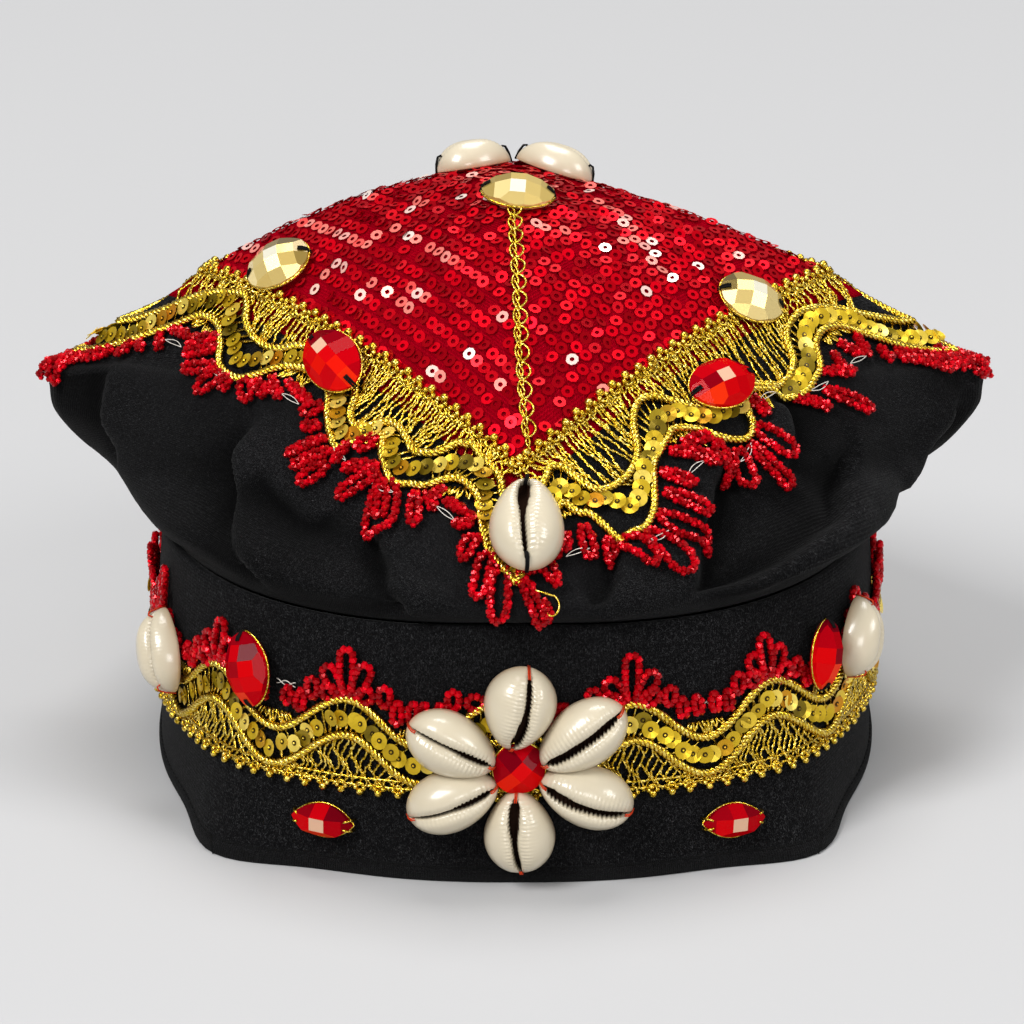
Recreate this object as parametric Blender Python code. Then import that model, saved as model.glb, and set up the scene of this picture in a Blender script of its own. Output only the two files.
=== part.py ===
"""A decorated folk cap: soft black cloth with a four-cornered red sequinned top, gold lace, red bead
fringes, cowrie shells and cut stones. It stands on its hem. Metres, +Z up, the front towards -Y."""

import math
from bisect import bisect_right
from collections import namedtuple

import bmesh
import bpy
from mathutils import Matrix, Vector

# The cap's own axis stands a little behind the origin, so that the flower in front is balanced
# by the back of the cap and the origin lies at the middle of the whole.
AXIS_Y = 0.0043

# Columns of points round the cap, and how far they gather at its four corners
COLUMNS = 48
CORNER_GATHER = 0.40

# Cloth
CROWN_CLOTH = 0.0016
BAND_CLOTH = 0.0024
HEM_CLOTH = 0.0036
SEAM_GAP = 0.0006

# Crown: a dome over a square seam whose front and back corners hang lower than the sides
APEX_HEIGHT = 0.141
DOME_POWER = 2.0
DOME_WAYS = (0.20, 0.45, 0.70, 0.90)
RIGHT_SAG = 0.0030

# A way is a place down the crown: 0 the apex, 1 the seam, 2 halfway down the slope below it,
# 3 the turned edge of the black bag, 4 the crease above the band.
# side, front: reach from the axis to a side corner and to the front or back corner.
# side_power, front_power: 1 gives a straight-sided square and 2 an ellipse, at those corners.
# rise: height halfway between two corners over the straight line that joins them.
CrownRing = namedtuple("CrownRing", "way side front side_power front_power side_z front_z rise")
CROWN_RINGS = (
    CrownRing(1.00, 0.0795, 0.0785, 1.06, 1.06, 0.1135, 0.0865, 0.0070),
    CrownRing(1.50, 0.0950, 0.0895, 0.92, 0.94, 0.1035, 0.0800, 0.0110),
    CrownRing(2.00, 0.1090, 0.0988, 0.88, 0.92, 0.0940, 0.0735, 0.0143),
    CrownRing(3.00, 0.1165, 0.1042, 0.96, 1.02, 0.0860, 0.0700, 0.0108),
    CrownRing(3.25, 0.1150, 0.1063, 1.05, 1.16, 0.0790, 0.0675, 0.0090),
    CrownRing(3.50, 0.1070, 0.1062, 1.24, 1.38, 0.0700, 0.0655, 0.0074),
    CrownRing(3.75, 0.0955, 0.1038, 1.95, 2.05, 0.0630, 0.0635, 0.0036),
    CrownRing(4.00, 0.0870, 0.0997, 2.20, 2.20, 0.0577, 0.0622, 0.0000),
)

# Folds of the black bag: each runs down the cloth between two places, given by an angle in degrees
# from the front, positive to the right, and a way. bend: 1 runs straight, and more hangs like a swag.
# width in degrees; out: how far it stands out, negative where it sinks in.
Fold = namedtuple("Fold", "angle way to_angle to_way bend width out")
FOLDS = (
    Fold(-55, 2.95, -35, 4.00, 1.7, 4.5, -0.0040),
    Fold(-63, 3.00, -46, 3.90, 1.5, 6.0, 0.0022),
    Fold(-21, 3.10, -13, 4.00, 1.0, 4.0, -0.0035),
    Fold(-83, 2.90, -40, 3.95, 3.0, 5.0, -0.0035),
    Fold(57, 2.40, 53, 3.20, 1.0, 4.5, -0.0025),
    Fold(62, 3.00, 26, 3.68, 2.5, 6.0, 0.0032),
    Fold(67, 3.10, 20, 3.85, 3.0, 5.0, -0.0025),
    Fold(33, 2.95, 21, 3.80, 1.3, 4.5, -0.0030),
    Fold(87, 3.00, 80, 3.65, 1.0, 4.0, -0.0025),
    Fold(124, 2.90, 118, 3.95, 1.5, 5.0, -0.0035),
    Fold(160, 3.00, 167, 3.95, 1.0, 5.0, -0.0030),
    Fold(-120, 2.90, -127, 3.95, 1.5, 5.0, -0.0035),
    Fold(-155, 3.00, -149, 3.95, 1.0, 5.0, -0.0030),
)

# Band: rings from its top edge down to the hem, whose front corners stand out
BAND_TOP = 0.0617
BAND_SIDE_DIP = 0.073
BandRing = namedtuple("BandRing", "height side front power corner cloth")
BAND_RINGS = (
    BandRing(BAND_TOP, 0.0880, 0.1007, 2.20, 0.0000, BAND_CLOTH),
    BandRing(0.0480, 0.0890, 0.1022, 2.35, 0.0000, BAND_CLOTH),
    BandRing(0.0300, 0.0893, 0.1035, 2.40, 0.0005, BAND_CLOTH),
    BandRing(0.0125, 0.0893, 0.1050, 2.45, 0.0040, BAND_CLOTH),
    BandRing(0.0110, 0.0893, 0.1052, 2.45, 0.0045, HEM_CLOTH),
    BandRing(0.0000, 0.0896, 0.1066, 2.50, 0.0092, HEM_CLOTH),
)
HEM_CORNER_ANGLE = math.radians(38)
HEM_CORNER_WIDTH = math.radians(9)

# Trimmings lie on the cloth with this gap
TRIM_GAP = 0.0007

# Lace of the crown: a strip along each side, with two raised serpentine cords between a picot edge
# on the seam and a wavy outer edge. A turn is a crest or a hollow of the cords: its angle in degrees,
# the ways of the inner and the outer cord, and the way that the bead loops below it reach.
PICOT_WAY = 0.96
LaceTurn = namedtuple("LaceTurn", "angle inner outer tip")
LEFT_TURNS = (
    LaceTurn(-90, 1.50, 1.95, 2.95),
    LaceTurn(-79, 1.05, 1.36, 2.40),
    LaceTurn(-62.5, 1.53, 2.20, 2.80),
    LaceTurn(-49, 1.18, 1.62, 2.60),
    LaceTurn(-32.5, 2.05, 2.75, 3.22),
    LaceTurn(-25, 1.60, 1.90, 3.12),
    LaceTurn(-20, 1.80, 2.75, 3.28),
    LaceTurn(-7, 1.05, 1.50, 3.02),
    LaceTurn(0, 1.60, 2.60, 3.50),
)
RIGHT_TURNS = (
    LaceTurn(0, 1.60, 2.60, 3.50),
    LaceTurn(6, 1.18, 1.80, 3.00),
    LaceTurn(17.5, 2.40, 3.15, 3.58),
    LaceTurn(29, 1.23, 2.05, 3.35),
    LaceTurn(43, 2.05, 2.92, 3.38),
    LaceTurn(50, 1.70, 2.05, 3.16),
    LaceTurn(60, 2.20, 2.66, 3.12),
    LaceTurn(78, 1.22, 1.52, 3.00),
    LaceTurn(90, 1.50, 1.95, 2.95),
)
# The back sides repeat the front ones, turned half round
LaceSide = namedtuple("LaceSide", "name turned turns")
LACE_SIDES = (
    LaceSide("front_left", 0, LEFT_TURNS),
    LaceSide("front_right", 0, RIGHT_TURNS),
    LaceSide("back_right", 180, LEFT_TURNS),
    LaceSide("back_left", 180, RIGHT_TURNS),
)
LACE_COLUMNS = 24
LACE_CORNER_TURN = math.radians(0.15)
LACE_THICKNESS = 0.0009
LACE_EDGE_STEP = 0.10
CORD_RAISE = 0.0013

# Lace of the band: the same upside down, with even scallops and its picots below
BAND_COLUMNS = 96
BAND_WAVES = 18
BAND_WAVE = 0.0035
BAND_PICOT_HEIGHT = 0.0220
BAND_CORD_HEIGHTS = (0.0320, 0.0415)
BAND_LACE_TOP = 0.0440

# Bead fringe: a row of loops, each two columns wide, on a common root beside the lace. On the crown it
# hangs a little away from the cloth, over the brim.
BRIM_GAP = 0.0012
FRINGE_THICKNESS = 0.0022
FRINGE_ROOT_STEP = 0.08
FRINGE_SHARES = (0.0, 0.35, 0.65, 1.0)
FRINGE_NOTCH_SHARE = 0.3
BAND_FRINGE_ROOT_STEP = 0.0008
BAND_FRINGE_TIP, BAND_FRINGE_NOTCH = 0.0545, 0.0480

# Braid sewn down the middle of the dome in front
BRAID_WAYS = (0.27, 0.42, 0.57, 0.72, 0.88)
BRAID_WIDTH = 0.0026
BRAID_THICKNESS = 0.0009
BRAID_SWAY = 0.0003

# Height above the cloth of what is sewn on it, on the lace's thin edge and over the lace's cords
OVER_CLOTH = 0.0007
OVER_EDGE = 0.0019
OVER_LACE = TRIM_GAP + LACE_THICKNESS + CORD_RAISE + 0.0004
OVER_RIDGE = OVER_LACE + 0.0012

# Cowries lie with the slit outwards. along: from the wide end, -1, to the narrow end, 1.
CowrieRing = namedtuple("CowrieRing", "along width height")
COWRIE_RINGS = (
    CowrieRing(-0.91, 0.46, 0.52),
    CowrieRing(-0.58, 0.87, 0.88),
    CowrieRing(-0.10, 1.00, 1.00),
    CowrieRing(0.42, 0.82, 0.90),
    CowrieRing(0.86, 0.42, 0.58),
)
COWRIE_SECTION = (
    (-0.84, 0.00), (-1.00, 0.32), (-0.74, 0.80), (-0.17, 1.00), (0.00, 0.76),
    (0.17, 1.00), (0.74, 0.80), (1.00, 0.32), (0.84, 0.00),
)
COWRIE_TIP_HEIGHT = 0.30

# place: a way on the crown, or a height in metres on the band. turn: degrees from pointing up the
# cloth, positive to the right, of the narrow end of a shell or of the long axis of a stone.
Shell = namedtuple("Shell", "name skin angle place turn over length width height")
SHELLS = (
    Shell("front_corner_shell", "crown", 1.6, 1.70, 1, OVER_RIDGE, 0.0235, 0.0168, 0.0080),
    Shell("top_left_shell", "crown", -133.0, 0.240, -58, OVER_CLOTH, 0.0188, 0.0126, 0.0070),
    Shell("top_right_shell", "crown", 135.6, 0.229, 61, OVER_CLOTH, 0.0200, 0.0126, 0.0068),
    Shell("left_side_shell", "band", -55.5, 0.0399, -26, OVER_LACE, 0.0220, 0.0140, 0.0080),
    Shell("right_side_shell", "band", 52.1, 0.0440, 20, OVER_LACE, 0.0212, 0.0130, 0.0080),
)

# Flower of six cowries round a stone on the front of the band, the first petal upwards
FLOWER_ANGLE, FLOWER_HEIGHT = 0.4, 0.0291
FLOWER_PETALS = (0, 59, 117, 180, 242, 298)
FLOWER_TIPS = 0.0062
PETAL_LENGTH, PETAL_WIDTH, PETAL_HEIGHT = 0.0215, 0.0148, 0.0080

# Cut stones: the outline's share and the height's share of the setting, the girdle and the facets
STONE_SIDES = 10
StoneRing = namedtuple("StoneRing", "share height")
STONE_RINGS = (
    StoneRing(0.98, 0.00),
    StoneRing(1.00, 0.22),
    StoneRing(0.93, 0.32),
    StoneRing(0.74, 0.76),
    StoneRing(0.46, 1.00),
)
Stone = namedtuple("Stone", "name skin angle place turn over length width height point finish")
STONES = (
    Stone("top_stone", "crown", 1.6, 0.200, -86, OVER_CLOTH, 0.0178, 0.0130, 0.0050, 1.0, "gold_stone"),
    Stone("left_gold_stone", "crown", -76.3, 0.86, 9, OVER_EDGE, 0.0178, 0.0130, 0.0050, 1.0, "gold_stone"),
    Stone("right_gold_stone", "crown", 68.3, 0.95, -14, OVER_EDGE, 0.0178, 0.0130, 0.0050, 1.0, "gold_stone"),
    Stone("left_lace_stone", "crown", -42.9, 1.25, -72, OVER_RIDGE, 0.0182, 0.0130, 0.0052, 1.0, "red_stone"),
    Stone("right_lace_stone", "crown", 45.0, 1.85, -87, OVER_LACE, 0.0170, 0.0126, 0.0052, 1.0, "red_stone"),
    Stone("left_band_stone", "band", -35.6, 0.0460, -16, OVER_LACE, 0.0178, 0.0128, 0.0052, 1.0, "red_stone"),
    Stone("right_band_stone", "band", 43.1, 0.0453, 17, OVER_LACE, 0.0174, 0.0112, 0.0052, 1.0, "red_stone"),
    Stone("left_hem_stone", "band", -24.4, 0.0125, -88, OVER_CLOTH, 0.0152, 0.0080, 0.0046, 1.5, "red_stone"),
    Stone("right_hem_stone", "band", 27.7, 0.0114, -87, OVER_CLOTH, 0.0152, 0.0080, 0.0046, 1.5, "red_stone"),
    Stone("flower_stone", "band", 0.4, 0.0291, 0, OVER_LACE, 0.0114, 0.0114, 0.0044, 1.0, "red_stone"),
)

# Colour, metallic value and roughness of each material
FINISHES = {
    "black_cloth": ((0.012, 0.012, 0.013), 0.0, 0.90),
    "red_cloth": ((0.42, 0.008, 0.020), 0.0, 0.45),
    "gold_lace": ((0.80, 0.52, 0.13), 0.9, 0.35),
    "red_beads": ((0.55, 0.004, 0.012), 0.0, 0.15),
    "cowrie": ((0.86, 0.78, 0.64), 0.0, 0.30),
    "red_stone": ((0.60, 0.005, 0.008), 0.0, 0.08),
    "gold_stone": ((0.78, 0.60, 0.28), 0.6, 0.12),
}


class Skin:
    """A faceted surface round the cap: rings of points at marked distances down the cloth."""

    def __init__(self, angles, marks, rings):
        self.angles = angles
        self.marks = marks
        self.rings = rings

    def point(self, angle, mark):
        """The point of the faceted surface at an angle round the cap and a mark down it."""
        columns = len(self.angles)
        angle = angle % math.tau
        column = bisect_right(self.angles, angle) - 1
        ends = [*self.angles, math.tau]
        across = (angle - ends[column]) / (ends[column + 1] - ends[column])
        mark = min(max(mark, self.marks[0]), self.marks[-1])
        row = min(bisect_right(self.marks, mark) - 1, len(self.marks) - 2)
        down = (mark - self.marks[row]) / (self.marks[row + 1] - self.marks[row])
        after = (column + 1) % columns
        upper = self.rings[row][column].lerp(self.rings[row][after], across)
        lower = self.rings[row + 1][column].lerp(self.rings[row + 1][after], across)
        return upper.lerp(lower, down)

    def normal(self, angle, mark, spread=0.05):
        """The outward direction there, taken over a small patch."""
        step = spread * (self.marks[-1] - self.marks[0]) / 4
        along = self.point(angle + spread, mark) - self.point(angle - spread, mark)
        down = self.point(angle, mark + step) - self.point(angle, mark - step)
        return down.cross(along).normalized()

    def lifted(self, angle, mark, height):
        return self.point(angle, mark) + height * self.normal(angle, mark)

    def seat(self, angle, mark, height, turn):
        """A frame on the surface: Z outwards, X up the slope and turned towards the right."""
        outward = self.normal(angle, mark, 0.10)
        rise = self.point(angle, mark - 0.05) - self.point(angle, mark + 0.05)
        rise = (rise - rise.dot(outward) * outward).normalized()
        across = outward.cross(rise)
        turned = rise * math.cos(turn) - across * math.sin(turn)
        basis = Matrix((turned, outward.cross(turned), outward)).transposed().to_4x4()
        return Matrix.Translation(self.point(angle, mark) + height * outward) @ basis


def superellipse_reach(angle, side, front, power):
    across = abs(math.sin(angle)) / side
    along = abs(math.cos(angle)) / front
    return (across**power + along**power) ** (-1 / power)


def gathered_angles(count, gather):
    """Angles round the cap, closer together at its four corners, with one at each corner."""
    even = [math.tau * i / count for i in range(count)]
    return [angle - gather / 4 * math.sin(4 * angle) for angle in even]


def turn_between(angle, other):
    """The short way round from one angle to another."""
    return (angle - other + math.pi) % math.tau - math.pi


def fold_out(angle, way):
    """How far the folds move the bag's cloth out at this place."""
    total = 0.0
    for fold in FOLDS:
        down = (way - fold.way) / (fold.to_way - fold.way)
        if 0 < down < 1:
            middle = fold.angle + (fold.to_angle - fold.angle) * down**fold.bend
            offset = turn_between(angle, math.radians(middle)) / math.radians(fold.width)
            total += fold.out * math.sin(math.pi * down) * math.exp(-offset * offset)
    return total


def towards_side(angle):
    """0 at the front and back corners, 1 at the side corners, even along a straight side between."""
    across, along = abs(math.sin(angle)), abs(math.cos(angle))
    return across / (across + along)


def crown_ring(ring, angles):
    points = []
    for angle in angles:
        share = towards_side(angle)
        power = ring.front_power + (ring.side_power - ring.front_power) * share
        reach = superellipse_reach(angle, ring.side, ring.front, power) + fold_out(angle, ring.way)
        height = ring.front_z + (ring.side_z - ring.front_z) * share
        height += ring.rise * 4 * share * (1 - share)
        points.append(Vector((reach * math.sin(angle), -reach * math.cos(angle), height)))
    return points


def dome_ring(way, seam):
    """A ring of the dome, which sags a little halfway down its right side."""
    fall = way**DOME_POWER
    points = []
    for p in seam:
        rightness = max(0.0, p.x / math.hypot(p.x, p.y))
        sag = RIGHT_SAG * math.sin(math.pi * way) * rightness**2
        points.append(Vector((p.x * way, p.y * way, APEX_HEIGHT + (p.z - APEX_HEIGHT) * fall - sag)))
    return points


def crown_skin(angles):
    seam = crown_ring(CROWN_RINGS[0], angles)
    marks = [0.0, *DOME_WAYS]
    rings = [dome_ring(way, seam) for way in marks]
    for ring in CROWN_RINGS:
        marks.append(ring.way)
        rings.append(crown_ring(ring, angles))
    return Skin(angles, marks, rings)


def hem_corner(angle):
    """1 at the two front corners of the hem, 0 away from them."""
    return sum(
        math.exp(-((turn_between(angle, side * HEM_CORNER_ANGLE) / HEM_CORNER_WIDTH) ** 2))
        for side in (-1, 1)
    )


def band_ring(ring, angles, inset):
    points = []
    for angle in angles:
        reach = superellipse_reach(angle, ring.side, ring.front, ring.power)
        reach += ring.corner * hem_corner(angle) - inset
        height = ring.height * (1 - BAND_SIDE_DIP * towards_side(angle))
        points.append(Vector((reach * math.sin(angle), -reach * math.cos(angle), height)))
    return points


def band_skin(angles):
    marks = [BAND_TOP - ring.height for ring in BAND_RINGS]
    rings = [band_ring(ring, angles, 0.0) for ring in BAND_RINGS]
    return Skin(angles, marks, rings)


def material_named(name):
    """The material of this name, made on its first use."""
    if name in bpy.data.materials:
        return bpy.data.materials[name]
    colour, metallic, roughness = FINISHES[name]
    material = bpy.data.materials.new(name)
    material.use_nodes = True
    surface = material.node_tree.nodes["Principled BSDF"]
    surface.inputs["Base Color"].default_value = (*colour, 1.0)
    surface.inputs["Metallic"].default_value = metallic
    surface.inputs["Roughness"].default_value = roughness
    return material


def add_object(name, bm, material):
    """Makes the mesh an object of the cap, held by the empty on its axis."""
    mesh = bpy.data.meshes.new(name)
    bm.to_mesh(mesh)
    bm.free()
    mesh.materials.append(material_named(material))
    mesh.shade_smooth()
    mesh.set_sharp_from_angle(angle=math.radians(35))
    made = bpy.data.objects.new(name, mesh)
    bpy.context.collection.objects.link(made)
    made.parent = bpy.data.objects["cap_axis"]
    return made


def add_rings(bm, rings):
    """Rings of vertices joined by quads, facing out where each ring lies outside the last."""
    rows = [[bm.verts.new(point) for point in ring] for ring in rings]
    for upper, lower in zip(rows, rows[1:]):
        for i, here in enumerate(upper):
            after = (i + 1) % len(upper)
            bm.faces.new((here, lower[i], lower[after], upper[after]))
    return rows


def cap_ring(bm, ring, tip, outward):
    """Closes a ring with a fan of triangles to one point."""
    centre = bm.verts.new(tip)
    for i, here in enumerate(ring):
        after = ring[(i + 1) % len(ring)]
        bm.faces.new((centre, here, after) if outward else (centre, after, here))


def slab(name, lower, upper, material, closed):
    """One solid between two grids of points, each a list of rows; closed joins the row ends."""
    bm = bmesh.new()
    below = [[bm.verts.new(point) for point in row] for row in lower]
    above = [[bm.verts.new(point) for point in row] for row in upper]
    count = len(lower[0])
    spans = [(i, (i + 1) % count) for i in range(count if closed else count - 1)]
    for grid in (below, above):
        for row, following in zip(grid, grid[1:]):
            for i, j in spans:
                bm.faces.new((row[i], following[i], following[j], row[j]))
    for edge in (0, -1):
        for i, j in spans:
            bm.faces.new((below[edge][i], below[edge][j], above[edge][j], above[edge][i]))
    if not closed:
        for end in (0, count - 1):
            for k in range(len(lower) - 1):
                side = (below[k][end], below[k + 1][end], above[k + 1][end], above[k][end])
                bm.faces.new(side)
    bmesh.ops.recalc_face_normals(bm, faces=bm.faces)
    return add_object(name, bm, material)


def thicken(made, thickness):
    """Gives a surface its wall, inwards from the outer face."""
    wall = made.modifiers.new("cloth", "SOLIDIFY")
    wall.thickness = thickness
    wall.offset = -1.0
    wall.use_even_offset = True
    return made


def crown_top(crown):
    """The red sequinned dome, up to the seam."""
    bm = bmesh.new()
    seam_row = crown.marks.index(1.0)
    rows = add_rings(bm, crown.rings[1 : seam_row + 1])
    cap_ring(bm, rows[0], (0, 0, APEX_HEIGHT), True)
    return thicken(add_object("crown_top", bm, "red_cloth"), CROWN_CLOTH)


def crown_side(crown):
    """The soft black bag from the seam to the crease above the band."""
    seam_row = crown.marks.index(1.0)
    rings = crown.rings[seam_row:]
    moved = [p + (q - p).normalized() * SEAM_GAP for p, q in zip(rings[0], rings[1])]
    bm = bmesh.new()
    add_rings(bm, [moved, *rings[1:]])
    return thicken(add_object("crown_side", bm, "black_cloth"), CROWN_CLOTH)


def band(angles, skin):
    """The upright band, with its hem turned up inside and a flat edge to stand on."""
    inner = [band_ring(ring, angles, ring.cloth) for ring in BAND_RINGS]
    return slab("band", inner, skin.rings, "black_cloth", True)


def lace(name, skin, angles, rows, closed):
    """A strip of lace: each row is a mark down the cloth for every angle and a raise over the strip."""
    lower = [[skin.lifted(a, m, TRIM_GAP) for a, m in zip(angles, marks)] for marks, _ in rows]
    upper = []
    for marks, raised in rows:
        height = TRIM_GAP + LACE_THICKNESS + raised
        upper.append([skin.lifted(a, m, height) for a, m in zip(angles, marks)])
    return slab(name, lower, upper, "gold_lace", closed)


def side_angles(side):
    """Angles from one corner of the crown to the next, short of both so that the trimmings meet."""
    start = math.radians(side.turns[0].angle + side.turned)
    even = [start + math.pi / 2 * i / LACE_COLUMNS for i in range(LACE_COLUMNS + 1)]
    angles = [angle - CORNER_GATHER / 4 * math.sin(4 * angle) for angle in even]
    angles[0] += LACE_CORNER_TURN
    angles[-1] -= LACE_CORNER_TURN
    return angles


def between_turns(side, angle):
    """The ways of the inner cord, the outer cord and the loops' tips at an angle along one side."""
    degrees = math.degrees(angle) - side.turned
    for here, after in zip(side.turns, side.turns[1:]):
        if degrees <= after.angle or after is side.turns[-1]:
            share = (degrees - here.angle) / (after.angle - here.angle)
            eased = (1 - math.cos(math.pi * share)) / 2
            return [a + (b - a) * eased for a, b in zip(here[1:], after[1:])]


def crown_lace(side, crown):
    """The lace along one side of the crown, from corner to corner."""
    angles = side_angles(side)
    cords = [between_turns(side, angle) for angle in angles]
    inner = [cord[0] for cord in cords]
    outer = [cord[1] for cord in cords]
    picots = [PICOT_WAY] * len(angles)
    net = [(PICOT_WAY + way) / 2 for way in inner]
    edge = [way + LACE_EDGE_STEP for way in outer]
    rows = ((picots, 0.0), (net, 0.0), (inner, CORD_RAISE), (outer, CORD_RAISE), (edge, 0.0))
    return lace("crown_lace_" + side.name, crown, angles, rows, False)


def band_waves(angles):
    return [math.sin(BAND_WAVES * angle) * BAND_WAVE for angle in angles]


def band_lace(skin, angles):
    """The same lace upside down round the band, with its picots below."""
    waves = band_waves(angles)

    def marks(height, share):
        return [BAND_TOP - height - share * wave for wave in waves]

    lower_cord, upper_cord = BAND_CORD_HEIGHTS
    rows = (
        (marks(BAND_LACE_TOP, 1.0), 0.0),
        (marks(upper_cord, 1.0), CORD_RAISE),
        (marks(lower_cord, 1.0), CORD_RAISE),
        (marks(BAND_PICOT_HEIGHT, 0.0), 0.0),
    )
    return lace("band_lace", skin, angles, rows, True)


def fringe(name, skin, angles, rows, gap, closed):
    """Bead loops side by side on one root. A row has a mark down the cloth for every angle."""
    lower, upper = [], []
    for marks in rows:
        places = list(zip(angles, marks))
        lower.append([skin.lifted(a, m, gap) for a, m in places])
        upper.append([skin.lifted(a, m, gap + FRINGE_THICKNESS) for a, m in places])
    return slab(name, lower, upper, "red_beads", closed)


def crown_fringe(side, crown):
    """The bead loops that hang from the lace; every second column runs down to a loop's tip."""
    angles = side_angles(side)
    reaches = []
    for i, angle in enumerate(angles):
        inner, outer, tip = between_turns(side, angle)
        root = outer + LACE_EDGE_STEP + FRINGE_ROOT_STEP
        share = 1.0 if i % 2 else FRINGE_NOTCH_SHARE
        reaches.append((root, share * (tip - root)))
    rows = [[root + step * share for root, step in reaches] for share in FRINGE_SHARES]
    return fringe("crown_fringe_" + side.name, crown, angles, rows, BRIM_GAP, False)


def band_fringe(skin, angles):
    """The bead loops that stand up from the band's lace."""
    foot = BAND_TOP - BAND_LACE_TOP - BAND_FRINGE_ROOT_STEP
    roots = [foot - wave for wave in band_waves(angles)]
    tip, notch = BAND_TOP - BAND_FRINGE_TIP, BAND_TOP - BAND_FRINGE_NOTCH
    ends = [tip if i % 2 else notch for i in range(len(angles))]
    return fringe("band_fringe", skin, angles, (ends, roots), TRIM_GAP, True)


def seam_braid(crown):
    """The narrow braid down the middle of the dome, wavering a little."""
    lower, upper = [], []
    for i, way in enumerate(BRAID_WAYS):
        outward = crown.normal(0.0, way)
        foot = crown.lifted(0.0, way, TRIM_GAP)
        foot.x += BRAID_SWAY * (-1) ** i
        top = foot + BRAID_THICKNESS * outward
        across = Vector((BRAID_WIDTH / 2, 0, 0))
        lower.append([foot - across, foot + across])
        upper.append([top - across, top + across])
    return slab("seam_braid", lower, upper, "gold_lace", False)


def sewn(made, skin, angle, mark, over, turn):
    """Seats a piece on the cloth at an angle and a turn in degrees."""
    made.matrix_local = skin.seat(math.radians(angle), mark, over, math.radians(turn))
    return made


def cowrie(name, length, width, height):
    """A cowrie with a flat back: X runs to its narrow end and Z out of its slit."""
    bm = bmesh.new()
    rings = []
    for ring in COWRIE_RINGS:
        x = ring.along * length / 2
        rings.append(
            [(x, y * ring.width * width / 2, z * ring.height * height) for y, z in COWRIE_SECTION]
        )
    rows = add_rings(bm, rings)
    cap_ring(bm, rows[0], (-length / 2, 0, COWRIE_TIP_HEIGHT * height), True)
    cap_ring(bm, rows[-1], (length / 2, 0, COWRIE_TIP_HEIGHT * height), False)
    bmesh.ops.recalc_face_normals(bm, faces=bm.faces)
    return add_object(name, bm, "cowrie")


def stone(name, length, width, height, point, finish):
    """A cut stone in its setting, long along X. point: 1 gives an oval, more gives pointed ends."""
    bm = bmesh.new()
    rings = []
    for ring in STONE_RINGS:
        corners = []
        for i in range(STONE_SIDES):
            angle = math.tau * i / STONE_SIDES
            x = ring.share * length / 2 * math.cos(angle)
            y = ring.share * width / 2 * math.copysign(abs(math.sin(angle)) ** point, math.sin(angle))
            corners.append((x, y, ring.height * height))
        rings.append(corners)
    rows = add_rings(bm, rings)
    bm.faces.new(rows[0])
    bm.faces.new(rows[-1])
    bmesh.ops.recalc_face_normals(bm, faces=bm.faces)
    return add_object(name, bm, finish)


def shells(skins):
    for item in SHELLS:
        skin = skins[item.skin]
        mark = item.place if item.skin == "crown" else BAND_TOP - item.place
        made = cowrie(item.name, item.length, item.width, item.height)
        sewn(made, skin, item.angle, mark, item.over, item.turn)


def flower(skin):
    """Six cowries with their narrow ends to the middle. The stone between them is in the stones' table."""
    out = FLOWER_TIPS + PETAL_LENGTH / 2
    reach = skin.point(math.radians(FLOWER_ANGLE), BAND_TOP - FLOWER_HEIGHT).length
    for number, petal in enumerate(FLOWER_PETALS, 1):
        turn = math.radians(petal)
        angle = FLOWER_ANGLE + math.degrees(out * math.sin(turn) / reach)
        mark = BAND_TOP - FLOWER_HEIGHT - out * math.cos(turn)
        made = cowrie(f"flower_shell_{number}", PETAL_LENGTH, PETAL_WIDTH, PETAL_HEIGHT)
        sewn(made, skin, angle, mark, OVER_LACE, petal + 180)


def stones(skins):
    for item in STONES:
        skin = skins[item.skin]
        mark = item.place if item.skin == "crown" else BAND_TOP - item.place
        made = stone(item.name, item.length, item.width, item.height, item.point, item.finish)
        sewn(made, skin, item.angle, mark, item.over, item.turn)


def main():
    for old in list(bpy.data.objects):
        bpy.data.objects.remove(old)
    axis = bpy.data.objects.new("cap_axis", None)
    bpy.context.collection.objects.link(axis)
    axis.location.y = AXIS_Y

    crown = crown_skin(gathered_angles(COLUMNS, CORNER_GATHER))
    crown_top(crown)
    crown_side(crown)
    for side in LACE_SIDES:
        crown_lace(side, crown)
        crown_fringe(side, crown)
    seam_braid(crown)

    band_angles = gathered_angles(COLUMNS, 0.0)
    round_band = band_skin(band_angles)
    band(band_angles, round_band)
    trim_angles = gathered_angles(BAND_COLUMNS, 0.0)
    band_lace(round_band, trim_angles)
    band_fringe(round_band, trim_angles)

    skins = {"crown": crown, "band": round_band}
    shells(skins)
    flower(round_band)
    stones(skins)


main()
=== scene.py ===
"""Looks of a decorated folk cap: black cloth, a sequinned red top, gold lace, bead loops, cowries and
cut stones, sewn on by hand. Metres, +Z up, the front towards -Y."""

import itertools
import math
from collections import namedtuple

import bmesh
import bpy
import numpy as np
from mathutils import Matrix, Vector


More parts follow.
